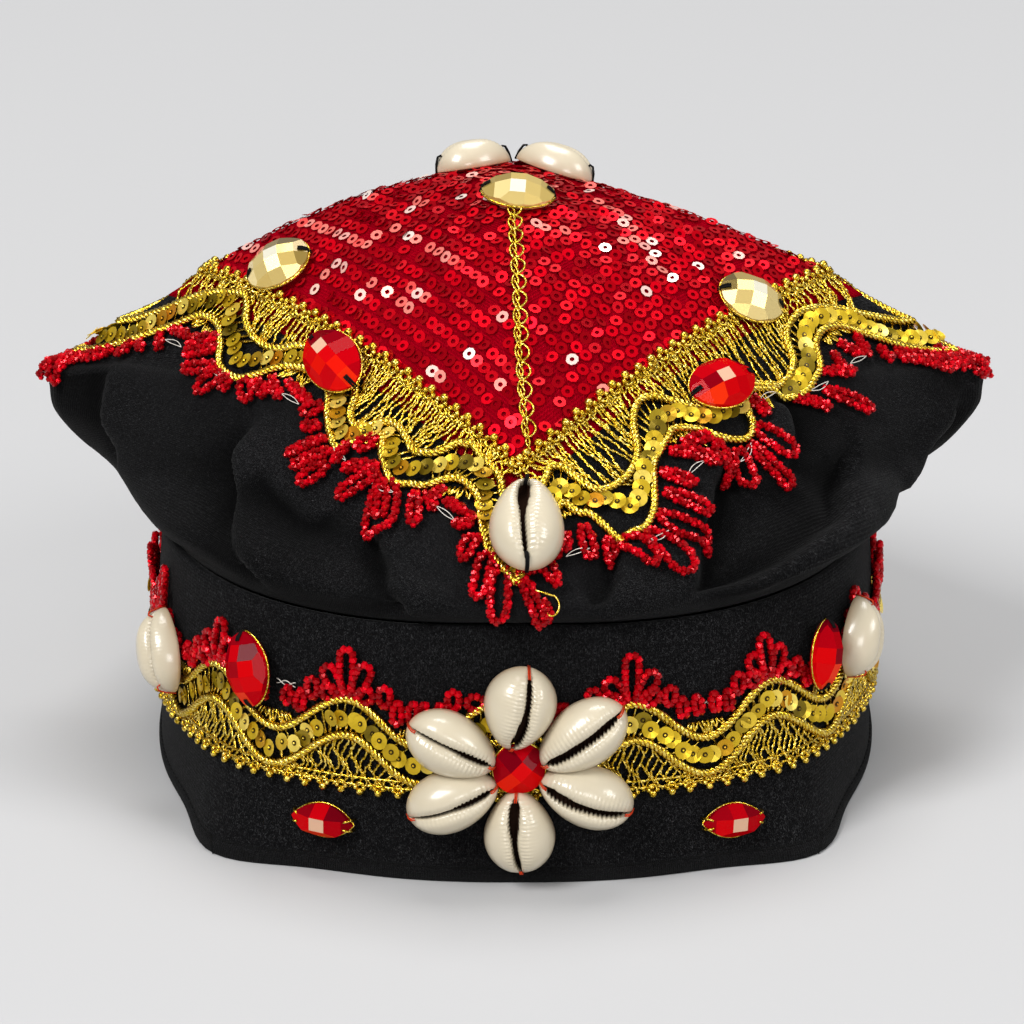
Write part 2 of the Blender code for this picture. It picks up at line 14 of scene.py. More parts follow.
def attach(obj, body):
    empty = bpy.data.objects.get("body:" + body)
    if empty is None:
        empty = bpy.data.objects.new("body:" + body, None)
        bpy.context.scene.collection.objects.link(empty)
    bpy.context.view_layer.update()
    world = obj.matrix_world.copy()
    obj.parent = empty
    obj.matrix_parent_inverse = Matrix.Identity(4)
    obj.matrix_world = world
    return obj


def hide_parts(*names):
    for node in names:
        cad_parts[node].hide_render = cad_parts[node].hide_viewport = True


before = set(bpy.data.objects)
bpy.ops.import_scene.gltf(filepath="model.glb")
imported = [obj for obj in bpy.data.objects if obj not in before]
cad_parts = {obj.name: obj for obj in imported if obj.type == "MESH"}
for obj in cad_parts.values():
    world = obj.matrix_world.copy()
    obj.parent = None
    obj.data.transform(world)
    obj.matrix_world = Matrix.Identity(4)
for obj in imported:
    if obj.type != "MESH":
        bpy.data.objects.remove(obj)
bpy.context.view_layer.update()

# The studio: a pale floor, broad soft lamps in a bright room, and a long lens that looks down a little.
AXIS_Y = 0.0043
CAMERA_DISTANCE = 1.0
CAMERA_ELEVATION = math.radians(20)
CAMERA_AIM = Vector((-0.0009, AXIS_Y, 0.0525))
LENS_MM, SENSOR_MM = 139.5, 36.0
FLOOR_SIZE = 30.0
FLOOR_COLOUR = (0.46, 0.46, 0.465)

camera = bpy.data.objects.new("camera", bpy.data.cameras.new("camera"))
bpy.context.collection.objects.link(camera)
camera.data.lens = LENS_MM
camera.data.sensor_width = SENSOR_MM
camera.data.clip_start = 0.05
camera.rotation_euler = (math.pi / 2 - CAMERA_ELEVATION, 0, 0)
back = Vector((0, -math.cos(CAMERA_ELEVATION), math.sin(CAMERA_ELEVATION)))
camera.location = CAMERA_AIM + CAMERA_DISTANCE * back
bpy.context.scene.camera = camera
bpy.context.scene.view_settings.view_transform = "Standard"

Lamp = namedtuple("Lamp", "name x y z size power")
LAMPS = (
    Lamp("key_lamp", -2.40, -2.50, 3.60, 1.80, 190.0),
    Lamp("side_lamp", 3.20, -1.90, 2.30, 1.50, 62.0),
    Lamp("top_lamp", 0.20, 1.20, 3.90, 2.00, 96.0),
    Lamp("front_lamp", 0.60, -3.80, 1.30, 1.20, 36.0),
)
for lamp in LAMPS:
    light = bpy.data.lights.new(lamp.name, "AREA")
    light.size = lamp.size
    light.energy = lamp.power
    placed = bpy.data.objects.new(lamp.name, light)
    placed.location = (lamp.x, lamp.y, lamp.z)
    placed.rotation_euler = (Vector((0, 0, 0.07)) - placed.location).to_track_quat("-Z", "Y").to_euler()
    bpy.context.collection.objects.link(placed)


def feed(made, **values):
    """Gives a node's inputs their values, or the sockets that feed them. An input goes by its name, or
    by its number after an underscore where several share one name."""
    for name, value in values.items():
        target = made.inputs[int(name[1:]) if name[0] == "_" else name.replace("_", " ")]
        if isinstance(value, bpy.types.NodeSocket):
            made.id_data.links.new(value, target)
        else:
            target.default_value = value


def node(tree, kind, **values):
    """A new shader node, with its settings and its inputs."""
    made = tree.nodes.new(kind)
    for name, value in values.items():
        if hasattr(made, name):
            setattr(made, name, value)
        else:
            feed(made, **{name: value})
    return made


ROOM_LOW, ROOM_HIGH = 0.19, 0.38
room = bpy.data.worlds.new("room")
room.use_nodes = True
tree = room.node_tree
sky = node(tree, "ShaderNodeTexCoord")
upward = node(tree, "ShaderNodeSeparateXYZ", Vector=sky.outputs["Generated"])
shade = node(tree, "ShaderNodeMapRange", From_Min=-0.2, From_Max=0.9, To_Min=ROOM_LOW, To_Max=ROOM_HIGH)
feed(shade, Value=upward.outputs["Z"])
feed(tree.nodes["Background"], Color=(1.0, 1.0, 1.0, 1.0), Strength=shade.outputs["Result"])
bpy.context.scene.world = room


def piece(name, bm, material, smooth=True):
    """The bmesh as an object of this name with one material."""
    mesh = bpy.data.meshes.new(name)
    bm.to_mesh(mesh)
    bm.free()
    mesh.materials.append(material)
    if smooth:
        mesh.shade_smooth()
    made = bpy.data.objects.new(name, mesh)
    bpy.context.collection.objects.link(made)
    return made


def new_material(name, colour, roughness, metallic=0.0, **inputs):
    """A material of one Principled BSDF, and that shader."""
    material = bpy.data.materials.new(name)
    material.use_nodes = True
    surface = material.node_tree.nodes["Principled BSDF"]
    feed(surface, Base_Color=(*colour, 1.0), Roughness=roughness, Metallic=metallic, **inputs)
    return material, surface


def sewn_on(made, slot, *nodes):
    """A piece rides on the cap and stands for these CAD nodes, which it hides. The slot is not used."""
    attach(made, "root")
    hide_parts(*nodes)


floor_paint, _ = new_material("floor_paint", FLOOR_COLOUR, 0.85)
bm = bmesh.new()
bmesh.ops.create_grid(bm, x_segments=1, y_segments=1, size=FLOOR_SIZE / 2)
piece("floor", bm, floor_paint)

# The crown's cloth: a dome over a square seam, and below it the slack black bag that is gathered in
# above the band. Both are measured by the angle round the cap, from the front to the right, and by a
# way down the cloth: 0 the apex, 1 the seam, 3 the turned edge of the bag, 4 the crease above the band.
APEX_HEIGHT = 0.141
DOME_FALL = 2.0
RIGHT_SAG = 0.0030
CrownRing = namedtuple("CrownRing", "way side front side_power front_power side_z front_z rise")
CROWN_RINGS = (
    CrownRing(1.00, 0.0795, 0.0785, 1.06, 1.06, 0.1135, 0.0865, 0.0070),
    CrownRing(1.50, 0.0950, 0.0895, 0.92, 0.94, 0.1035, 0.0800, 0.0110),
    CrownRing(2.00, 0.1090, 0.0988, 0.88, 0.92, 0.0940, 0.0735, 0.0143),
    CrownRing(3.00, 0.1165, 0.1042, 0.96, 1.02, 0.0860, 0.0700, 0.0108),
    CrownRing(3.25, 0.1150, 0.1063, 1.05, 1.16, 0.0790, 0.0675, 0.0090),
    CrownRing(3.50, 0.1070, 0.1062, 1.24, 1.38, 0.0700, 0.0655, 0.0074),
    CrownRing(3.75, 0.0955, 0.1038, 1.95, 2.05, 0.0630, 0.0635, 0.0036),
    CrownRing(4.00, 0.0870, 0.0997, 2.20, 2.20, 0.0577, 0.0622, 0.0000),
)
CROWN_COLUMNS = 420
CORNER_GATHER, FRONT_GATHER = 0.20, 0.25
DOME_ROWS, SHOULDER_ROWS, BAG_ROWS = 40, 14, 52
SHOULDER_WAY = 2.3
CROWN_WALL = 0.0016

ring_ways = np.array([ring.way for ring in CROWN_RINGS])
ring_sizes = np.array([ring[1:] for ring in CROWN_RINGS])


def smooth_between(knots, reach, places):
    """What a smooth line through knots, which lie at reach along it, is at these places along it."""
    slopes = np.gradient(knots, reach, axis=0)
    k = np.clip(np.searchsorted(reach, places, side="right") - 1, 0, len(reach) - 2)
    span = (reach[k + 1] - reach[k])[..., None]
    t = (places - reach[k])[..., None] / span
    return (
        knots[k] * (1 + 2 * t) * (1 - t) ** 2
        + slopes[k] * span * t * (1 - t) ** 2
        + knots[k + 1] * t * t * (3 - 2 * t)
        + slopes[k + 1] * span * t * t * (t - 1)
    )


def side_share(angle):
    """How far round from the front or the back to the side an angle is, from 0 to 1."""
    across, along = np.abs(np.sin(angle)), np.abs(np.cos(angle))
    return across / (across + along)


def square_reach(angle, side, front, power):
    """How far a rounded square reaches from its middle, at an angle."""
    across, along = np.abs(np.sin(angle)), np.abs(np.cos(angle))
    return ((across / side) ** power + (along / front) ** power) ** (-1 / power)


def round_cap(angle, reach, height):
    """Points by their angle round the cap, from the front to the right, how far out and how high."""
    return np.stack((reach * np.sin(angle), AXIS_Y - reach * np.cos(angle), height), -1)


def unit(vectors, least=0.0):
    """Vectors brought to the length 1."""
    return vectors / (np.linalg.norm(vectors, axis=-1, keepdims=True) + least)


def eased(share):
    """A share from 0 to 1, with a soft start and end."""
    return share * share * (3 - 2 * share)


def soft_step(x):
    """1 well below 0, and 0 well above it."""
    return 1 / (1 + np.exp(np.clip(x, -40, 40)))


def crown_form(angle, way):
    """Points of the crown's smooth form, without its folds."""
    sizes = smooth_between(ring_sizes, ring_ways, np.maximum(way, 1.0))
    side, front, side_power, front_power, side_z, front_z, rise = np.moveaxis(sizes, -1, 0)
    share = side_share(angle)
    reach = square_reach(angle, side, front, front_power + (side_power - front_power) * share)
    height = front_z + (side_z - front_z) * share + rise * 4 * share * (1 - share)
    up = np.minimum(way, 1.0)
    sag = RIGHT_SAG * np.sin(np.pi * up) * np.maximum(np.sin(angle), 0.0) ** 2
    height = APEX_HEIGHT + (height - APEX_HEIGHT) * up**DOME_FALL - sag
    return round_cap(angle, reach * up, height)


def outward(points):
    """Unit normals of a grid of points whose rows run down the cloth and close round the cap."""
    along = np.roll(points, -1, axis=1) - np.roll(points, 1, axis=1)
    down = np.gradient(points, axis=0)
    return unit(np.cross(down, along))


class Cloth:
    """A surface of sewn cloth, as a grid of points by the angle round the cap and a mark down it."""

    def __init__(self, angles, marks, points):
        self.angles = np.append(angles, math.tau)
        self.marks = marks
        self.points = np.concatenate((points, points[:, :1]), axis=1)
        normals = outward(points)
        self.normals = np.concatenate((normals, normals[:, :1]), axis=1)

    def look_up(self, grid, angle, mark):
        """What a grid holds at angles and marks, in even steps between its points."""
        angle = np.mod(angle, math.tau)
        mark = np.clip(mark, self.marks[0], self.marks[-1])
        column = np.clip(np.searchsorted(self.angles, angle, side="right") - 1, 0, len(self.angles) - 2)
        row = np.clip(np.searchsorted(self.marks, mark, side="right") - 1, 0, len(self.marks) - 2)
        across = (angle - self.angles[column]) / (self.angles[column + 1] - self.angles[column])
        down = (mark - self.marks[row]) / (self.marks[row + 1] - self.marks[row])
        across, down = across[..., None], down[..., None]
        upper = grid[row, column] * (1 - across) + grid[row, column + 1] * across
        lower = grid[row + 1, column] * (1 - across) + grid[row + 1, column + 1] * across
        return upper * (1 - down) + lower * down

    def facing(self, angle, mark):
        """Unit normals of the cloth at angles in radians and marks."""
        return unit(self.look_up(self.normals, np.asarray(angle, float), np.asarray(mark, float)))

    def at(self, angle, mark, lift=0.0):
        """Points above the cloth by lift, for angles in radians and marks."""
        spot = self.look_up(self.points, np.asarray(angle, float), np.asarray(mark, float))
        return spot + np.asarray(lift, float)[..., None] * self.facing(angle, mark)

    def frame_at(self, angle, mark, lift, turn):
        """A matrix on the cloth: Z outwards, X up the slope and turned by degrees to the right."""
        spot = Vector(self.at(angle, mark, lift))
        out = Vector(self.facing(angle, mark))
        step = 0.004 * (self.marks[-1] - self.marks[0])
        rise = Vector(self.at(angle, mark - step)) - Vector(self.at(angle, mark + step))
        rise = (rise - rise.dot(out) * out).normalized()
        across = out.cross(rise)
        turn = math.radians(turn)
        forward = rise * math.cos(turn) - across * math.sin(turn)
        basis = Matrix((forward, out.cross(forward), out)).transposed().to_4x4()
        return Matrix.Translation(spot) @ basis


def gathered(columns):
    """Angles round the cap, closer together at its four corners and at the front."""
    even = np.arange(columns) * math.tau / columns
    return even - CORNER_GATHER / 4 * np.sin(4 * even) - FRONT_GATHER * np.sin(even)


# Folds of the bag. Each runs along places given by an angle in degrees and a way. On one side of it the
# cloth drops into a groove, which is as deep as depth and comes up again over reach, and on the other
# side it stands up by its lip: seen from outside, on the left of the run if the lip is positive.
Fold = namedtuple("Fold", "reach depth lip run")
FOLDS = (
    Fold(0.0060, 0.0055, 0.0028, (
        (-52.5, 2.8), (-54.2, 3.0), (-54.3, 3.15), (-51.2, 3.34), (-48.6, 3.49), (-44.5, 3.61),
        (-39.8, 3.72), (-35.7, 3.85), (-34.4, 4.0),
    )),
    Fold(0.0075, 0.0030, 0.0014, (
        (-85.5, 2.3), (-84.8, 2.5), (-83.5, 2.95), (-82.1, 3.25), (-80, 3.45), (-79.3, 3.66),
    )),
    Fold(0.0040, 0.0020, 0.0014, (
        (-84, 3.76), (-75, 3.83), (-62, 3.88), (-51.7, 3.90), (-44, 3.91), (-36, 3.93),
    )),
    Fold(0.0050, 0.0042, 0.0024, (
        (-23, 3.1), (-21.7, 3.24), (-20.1, 3.35), (-18.4, 3.44), (-16.8, 3.58), (-14.8, 3.7),
        (-13.2, 3.95),
    )),
    Fold(0.0070, 0.0016, 0.0006, ((-48.1, 3.16), (-39.8, 3.33), (-31.3, 3.35), (-28.4, 3.14))),
    Fold(0.0060, 0.0060, -0.0026, (
        (40, 2.95), (37.7, 3.09), (35.2, 3.15), (32.7, 3.28), (29.4, 3.43), (26, 3.6), (22.6, 3.73),
    )),
    Fold(0.0060, 0.0060, 0.0034, (
        (66, 2.95), (67, 3.08), (66.2, 3.24), (64, 3.41), (58.2, 3.53), (54.3, 3.6), (47.1, 3.64),
        (40.9, 3.68), (36.2, 3.71), (27.4, 3.74), (22, 3.76),
    )),
    Fold(0.0050, 0.0036, -0.0024, ((55.5, 2.5), (57.8, 2.85), (55.8, 3.06), (53.3, 3.14), (49, 3.3))),
    Fold(0.0040, 0.0034, -0.0020, (
        (76, 3.72), (65.8, 3.77), (53.8, 3.78), (45.5, 3.79), (38.8, 3.79), (32, 3.8),
    )),
    Fold(0.0048, 0.0040, 0.0024, (
        (17, 3.1), (15.8, 3.23), (14.4, 3.33), (13.1, 3.52), (11.7, 3.63), (9.2, 3.78),
    )),
    Fold(0.0050, 0.0044, -0.0022, (
        (87.5, 3.0), (87, 3.09), (85.8, 3.3), (84.3, 3.4), (81.6, 3.6), (74.2, 3.75),
    )),
    Fold(0.0060, 0.0040, 0.0022, ((124, 2.8), (121, 3.3), (118, 3.9))),
    Fold(0.0050, 0.0036, -0.0020, ((143, 2.9), (146, 3.4), (150, 3.9))),
    Fold(0.0060, 0.0040, 0.0022, ((168, 3.1), (171, 3.5), (176, 3.9))),
    Fold(0.0050, 0.0036, -0.0020, ((195, 3.1), (192, 3.5), (188, 3.9))),
    Fold(0.0060, 0.0044, 0.0022, ((236, 2.8), (231, 3.3), (226, 3.92))),
    Fold(0.0050, 0.0034, 0.0020, ((214, 3.0), (212, 3.4), (208, 3.9))),
)
FOLD_EDGE = 0.00060
FOLD_STEPS = 72
# CREASE_WINDOW, CREASE_REACH and CREASE_ASIDE set how far the painted shade beside a fold reaches.
FOLD_WINDOW, CREASE_WINDOW = 2.6, 3.2
CREASE_REACH, CREASE_ASIDE = 0.9, 3.4
FOLD_STARTS, FOLD_ENDS = 0.22, 0.18
FOOT_WAY, FOOT_HOLD = 4.0, 0.25
DEGREE_PACE, WAY_PACE = 1.7, 20
crown_angles = gathered(CROWN_COLUMNS)
dome_marks = np.linspace(0.01, 1.0, DOME_ROWS)
shoulder_marks = np.linspace(1.0, SHOULDER_WAY, SHOULDER_ROWS)
bag_marks = np.append(shoulder_marks, np.linspace(SHOULDER_WAY, 4.0, BAG_ROWS)[1:])


def along_run(run, steps):
    """Even steps along places given in degrees and ways, rounded between them."""
    run = np.array(run, float)
    stretch = np.hypot(np.diff(run[:, 0]) * DEGREE_PACE, np.diff(run[:, 1]) * WAY_PACE)
    reach = np.concatenate(((0,), np.cumsum(stretch)))
    places = smooth_between(run, reach, np.linspace(0, reach[-1], steps))
    return np.radians(places[:, 0]), places[:, 1]


def folded(points, normals, ways):
    """The bag's points moved by its folds, and a painted shade from 0 to 1, deepest at the bottom of each
    groove. The seam at its foot holds it in place."""
    held = eased(np.clip((FOOT_WAY - ways) / FOOT_HOLD, 0, 1)).ravel()
    moved = points.copy()
    sunk = np.zeros(points.shape[:2])
    for fold in FOLDS:
        angle, way = along_run(fold.run, FOLD_STEPS)
        line = crown_form(angle, way)
        flat = points.reshape(-1, 3)
        nearest = np.linalg.norm(flat[:, None] - line[None], axis=2).argmin(axis=1)
        tangent = np.gradient(line, axis=0)[nearest]
        aside = unit(np.cross(normals.reshape(-1, 3), tangent))
        away = flat - line[nearest]
        offset = np.einsum("ij,ij->i", away, aside)
        share = nearest + np.einsum("ij,ij->i", away, tangent) / np.einsum("ij,ij->i", tangent, tangent)
        share = share / (FOLD_STEPS - 1)
        ends = eased(np.clip(share / FOLD_STARTS, 0, 1) * np.clip((1 - share) / FOLD_ENDS, 0, 1))
        low = -math.copysign(1, fold.lip) * offset
        high = soft_step(low / FOLD_EDGE)
        groove = -fold.depth * np.exp(-np.maximum(low, 0) / fold.reach)
        ridge = abs(fold.lip) * np.exp(-((low / (2 * fold.reach)) ** 2))
        near = np.exp(-((np.linalg.norm(away, axis=1) / (FOLD_WINDOW * fold.reach)) ** 2))
        lift = (groove * (1 - high) + ridge * high) * near
        moved += (lift * ends * held).reshape(points.shape[:2])[..., None] * normals
        # Painted shadow: the cloth's colour darkens in the groove beside each fold, over a reach that grows
        # where the fold faces sideways.
        dark_reach = fold.reach * (CREASE_REACH + CREASE_ASIDE * np.abs(np.sin(angle[nearest])))
        close = np.exp(-((np.linalg.norm(away, axis=1) / (CREASE_WINDOW * dark_reach)) ** 2))
        shadow = np.exp(-np.maximum(low, 0) / dark_reach) * (1 - high) * close * ends
        sunk = np.maximum(sunk, shadow.reshape(sunk.shape))
    return moved, sunk


angle_grid, way_grid = np.meshgrid(crown_angles, dome_marks)
dome_points = crown_form(angle_grid, way_grid)
angle_grid, way_grid = np.meshgrid(crown_angles, bag_marks)
bag_form = crown_form(angle_grid, way_grid)
bag_points, bag_painted_shade = folded(bag_form, outward(bag_form), way_grid)
crown_marks = np.append(dome_marks, bag_marks[1:])
crown = Cloth(crown_angles, crown_marks, np.concatenate((dome_points, bag_points[1:])))


def cloth_piece(name, points, wall, material, painted_shades=None):
    """A closed round of cloth through a grid of points, with its wall inwards. Its UV map is in metres. Its
    attribute of painted shade is 1 at the bottom of a fold, where next to no light comes."""
    rows, columns = points.shape[:2]
    bm = bmesh.new()
    bm.loops.layers.uv.new("metres")
    bmesh.ops.create_grid(bm, x_segments=columns, y_segments=rows - 1, size=0.5, calc_uvs=True)
    closed = np.concatenate((points, points[:, :1]), axis=1)
    round_length = np.linalg.norm(np.diff(closed, axis=1), axis=2).sum(axis=1).max()
    depth = np.linalg.norm(np.diff(closed, axis=0), axis=2).sum(axis=0).max()
    uv = bm.loops.layers.uv["metres"]
    for face in bm.faces:
        for loop in face.loops:
            loop[uv].uv = (loop[uv].uv.x * round_length, loop[uv].uv.y * depth)
    crease_shade = bm.verts.layers.float.new("crease_shade")
    for vert in bm.verts:
        column = round((vert.co.x + 0.5) * columns)
        row = round((0.5 - vert.co.y) * (rows - 1))
        vert.co = closed[row, column]
        if painted_shades is not None:
            vert[crease_shade] = painted_shades[row, column % columns]
    bmesh.ops.remove_doubles(bm, verts=bm.verts, dist=1e-7)
    made = piece(name, bm, material)
    solid = made.modifiers.new("wall", "SOLIDIFY")
    solid.thickness = wall
    solid.offset = -1.0
    return made


UNDER_LACE_WAY = 1.20
# CREASE_LIGHT is the share of the cloth's darkest colour that the painted shade leaves at the bottom of a
# crease.
CREASE_LIGHT = 0.1


def blend_colours(tree, share, low, high):
    """A mix of a colour, or of a socket that gives one, with a second colour by a share, as a socket."""
    low = low if isinstance(low, bpy.types.NodeSocket) else (*low, 1.0)
    mix = node(tree, "ShaderNodeMix", data_type="RGBA", A=low, B=(*high, 1.0), Factor=share)
    return mix.outputs["Result"]


def colours_by(tree, value, stops):
    """A colour ramp of (place, colour) stops driven by a value; it returns the colour's socket."""
    ramp = node(tree, "ShaderNodeValToRGB", Fac=value)
    for element, (place, colour) in zip(ramp.color_ramp.elements, (stops[0], stops[-1])):
        element.position = place
        element.color = (*colour, 1)
    for place, colour in stops[1:-1]:
        ramp.color_ramp.elements.new(place).color = (*colour, 1)
    return ramp.outputs["Color"]


def toned(name, colour, attribute, stops, roughness, metallic=0.0, **inputs):
    """A material whose colour goes by an attribute of its mesh, through (place, colour) stops."""
    material, surface = new_material(name, colour, roughness, metallic, **inputs)
    own = node(material.node_tree, "ShaderNodeAttribute", attribute_name=attribute)
    feed(surface, Base_Color=colours_by(material.node_tree, own.outputs["Fac"], stops))
    return material


weave = bpy.data.node_groups.new("weave", "ShaderNodeTree")
weave.interface.new_socket("Vector", in_out="INPUT", socket_type="NodeSocketVector")
for name, way in (("Pitch", "INPUT"), ("Height", "OUTPUT"), ("Lint", "OUTPUT")):
    weave.interface.new_socket(name, in_out=way, socket_type="NodeSocketFloat")
given = node(weave, "NodeGroupInput")
result = node(weave, "NodeGroupOutput")
per_metre = node(weave, "ShaderNodeMath", operation="DIVIDE", _0=1.0, _1=given.outputs["Pitch"])
scaled = node(weave, "ShaderNodeVectorMath", operation="SCALE", _0=given.outputs["Vector"])
feed(scaled, Scale=per_metre.outputs["Value"])
place = scaled.outputs["Vector"]
stripes = {"Scale": 0.314, "Distortion": 1.2, "Detail": 1}
warp, weft = (
    node(weave, "ShaderNodeTexWave", bands_direction=way, Vector=place, **stripes) for way in ("X", "Y")
)
crossed = node(weave, "ShaderNodeMath", operation="MULTIPLY", _0=warp.outputs["Fac"], _1=weft.outputs["Fac"])
slubs = node(weave, "ShaderNodeTexNoise", Vector=place, Scale=0.55, Detail=4.0, Roughness=0.7)
joined = node(weave, "ShaderNodeMath", operation="MULTIPLY_ADD", _0=slubs.outputs["Fac"], _1=1.6)
feed(joined, _2=crossed.outputs["Value"])
# Sparse paler specks: lint on the black cloth, and painted glints on the threads of the red net.
lint_and_glint_noise = node(weave, "ShaderNodeTexNoise", Vector=place, Scale=1.1, Detail=5, Roughness=0.8, Distortion=1.5)
rare = node(weave, "ShaderNodeMapRange", Value=lint_and_glint_noise.outputs["Fac"], From_Min=0.52, From_Max=0.78)
feed(result, Height=joined.outputs["Value"], Lint=rare.outputs["Result"])


def woven(name, colour, roughness, low, high, pitch, depth, **inputs):
    """A cloth with its weave: its threads as bump, lint and fluff as a paler colour, which on the red net
    stands for painted glints, and painted shade that darkens its colour in the creases.
    """
    material, surface = new_material(name, colour, roughness, **inputs)
    tree = material.node_tree
    along = node(tree, "ShaderNodeUVMap", uv_map="metres")
    pattern = node(tree, "ShaderNodeGroup", node_tree=weave, Pitch=pitch, Vector=along.outputs["UV"])
    with_lint_and_glints = blend_colours(tree, pattern.outputs["Lint"], low, high)
    # Painted shade: the colour goes nearly black at the bottom of the bag's folds.
    crease_shade = node(tree, "ShaderNodeAttribute", attribute_name="crease_shade")
    shaded = blend_colours(tree, crease_shade.outputs["Fac"], with_lint_and_glints, [part * CREASE_LIGHT for part in low])
    bump = node(tree, "ShaderNodeBump", Strength=1.0, Distance=depth, Height=pattern.outputs["Height"])
    feed(surface, Base_Color=shaded, Normal=bump.outputs["Normal"])
    return material


black_cloth = woven(
    "black_cloth", (0.006, 0.006, 0.007), 0.92, (0.0018, 0.0018, 0.0020), (0.072, 0.072, 0.075),
    0.00055, 0.00010, Specular_IOR_Level=0.06, Sheen_Weight=0.03, Sheen_Roughness=0.4,
)
# On the red net the paler specks are painted glints on its threads.
red_net = woven(
    "red_net", (0.07, 0.0, 0.004), 0.55, (0.22, 0.0, 0.005), (0.66, 0.004, 0.016), 0.0008, 0.0002,
    Specular_IOR_Level=0.0,
)

bag = cloth_piece("bag", bag_points, CROWN_WALL, black_cloth, bag_painted_shade)
sewn_on(bag, "black_cloth", "crown_side")
top_marks = np.concatenate((dome_marks[::2], (1.0,), np.linspace(1.03, UNDER_LACE_WAY, 5)))
angle_grid, way_grid = np.meshgrid(crown_angles[::2], top_marks)
top_points = crown.at(angle_grid, way_grid, np.where(way_grid > 1, 0.0003, 0.0))
top = cloth_piece("sequinned_top", top_points, CROWN_WALL, red_net)
sewn_on(top, "red_cloth", "crown_top")

# Sequins on the crown's top: flat rings of red foil, sewn in rows on a fine dark red net. The rows of
# each of its four faces run their own way, and many of the sequins have tipped over.
SEQUIN_RADIUS, SEQUIN_HOLE, SEQUIN_THICK = 0.00158, 0.00060, 0.00010
SEQUIN_STEP, SEQUIN_ROW_STEP = 0.0026, 0.0030
SEQUIN_ROWS, SEQUINS_A_ROW = 40, 45
SEQUIN_SIDES = 9
SEQUIN_LIFT, SEQUIN_TIP, TOP_SEQUIN_LEAN = 0.0004, 0.16, 0.12
TOP_TRIM_WAY = 0.955
LOST_SHARE = 0.05
# The four faces in turn: the way that the rows run, right and back, and the angles of the face.
Face = namedtuple("Face", "right back first last")
TOP_FACES = (
    Face(1.0, -0.41, 0, 90), Face(1.0, -1.05, 270, 360),
    Face(1.0, -0.41, 180, 270), Face(1.0, -1.05, 90, 180),
)


def spun(bm, section, steps):
    """A section turned once round Z."""
    bmesh.ops.spin(
        bm, geom=section, cent=(0, 0, 0), axis=(0, 0, 1), angle=math.tau, steps=steps, use_merge=True
    )


def ring_shape(outer, hole, thick, sides, cup=0.0):
    """A thin flat ring round Z, its face up, with a bevelled rim."""
    bm = bmesh.new()
    inner = bm.verts.new((hole, 0, thick))
    rim = bm.verts.new((outer, 0, thick + cup))
    under = bm.verts.new((outer * 0.93, 0, cup * 0.93))
    section = [inner, rim, under]
    section += [bm.edges.new((section[k], section[(k + 1) % 3])) for k in range(3)]
    spun(bm, section, sides)
    bmesh.ops.remove_doubles(bm, verts=bm.verts, dist=1e-7)
    bmesh.ops.recalc_face_normals(bm, faces=bm.faces)
    return bm


def strewn(name, pattern, places, material, tones=None, smooth=True):
    """One piece of many copies of a small shape, at 4 x 4 places. Each copy has its own tone, and the
    shape's painted shade in its hollows goes with every copy."""
    shape = bpy.data.meshes.new("pattern")
    pattern.to_mesh(shape)
    pattern.free()
    count, copies = len(shape.vertices), len(places)
    hollow_shades = np.zeros(count)
    if "hollow" in shape.attributes:
        shape.attributes["hollow"].data.foreach_get("value", hollow_shades)
    spots = np.empty(count * 3)
    shape.vertices.foreach_get("co", spots)
    spots = np.concatenate((spots.reshape(-1, 3), np.ones((count, 1))), axis=1)
    corners = np.empty(len(shape.loops), int)
    shape.loops.foreach_get("vertex_index", corners)
    starts = np.empty(len(shape.polygons), int)
    shape.polygons.foreach_get("loop_start", starts)
    bpy.data.meshes.remove(shape)
    moved = np.einsum("cij,vj->cvi", places, spots)[..., :3]
    steps = np.arange(copies)[:, None]
    mesh = bpy.data.meshes.new(name)
    mesh.vertices.add(count * copies)
    mesh.vertices.foreach_set("co", moved.ravel())
    mesh.loops.add(len(corners) * copies)
    mesh.loops.foreach_set("vertex_index", (corners[None] + steps * count).ravel())
    mesh.polygons.add(len(starts) * copies)
    mesh.polygons.foreach_set("loop_start", (starts[None] + steps * len(corners)).ravel())
    mesh.update(calc_edges=True)
    if tones is not None:
        tone = mesh.attributes.new("tone", "FLOAT", "POINT")
        tone.data.foreach_set("value", np.repeat(tones, count))
        hollow = mesh.attributes.new("hollow", "FLOAT", "POINT")
        hollow.data.foreach_set("value", np.tile(hollow_shades, copies))
    mesh.materials.append(material)
    if smooth:
        mesh.shade_smooth()
    else:
        mesh.shade_flat()
    made = bpy.data.objects.new(name, mesh)
    bpy.context.collection.objects.link(made)
    return made


def places_on(spots, faces, heads):
    """4 x 4 places at spots, with Z along faces and X along heads as far as it can."""
    faces = unit(faces)
    heads = unit(heads - np.einsum("ij,ij->i", heads, faces)[:, None] * faces)
    places = np.zeros((len(spots), 4, 4))
    places[:, :3, 0] = heads
    places[:, :3, 1] = np.cross(faces, heads)
    places[:, :3, 2] = faces
    places[:, :3, 3] = spots
    places[:, 3, 3] = 1
    return places


def tipped(faces, amount, chance):
    """Directions tipped over at random by up to about this slope."""
    return faces + chance.normal(0, amount, faces.shape)


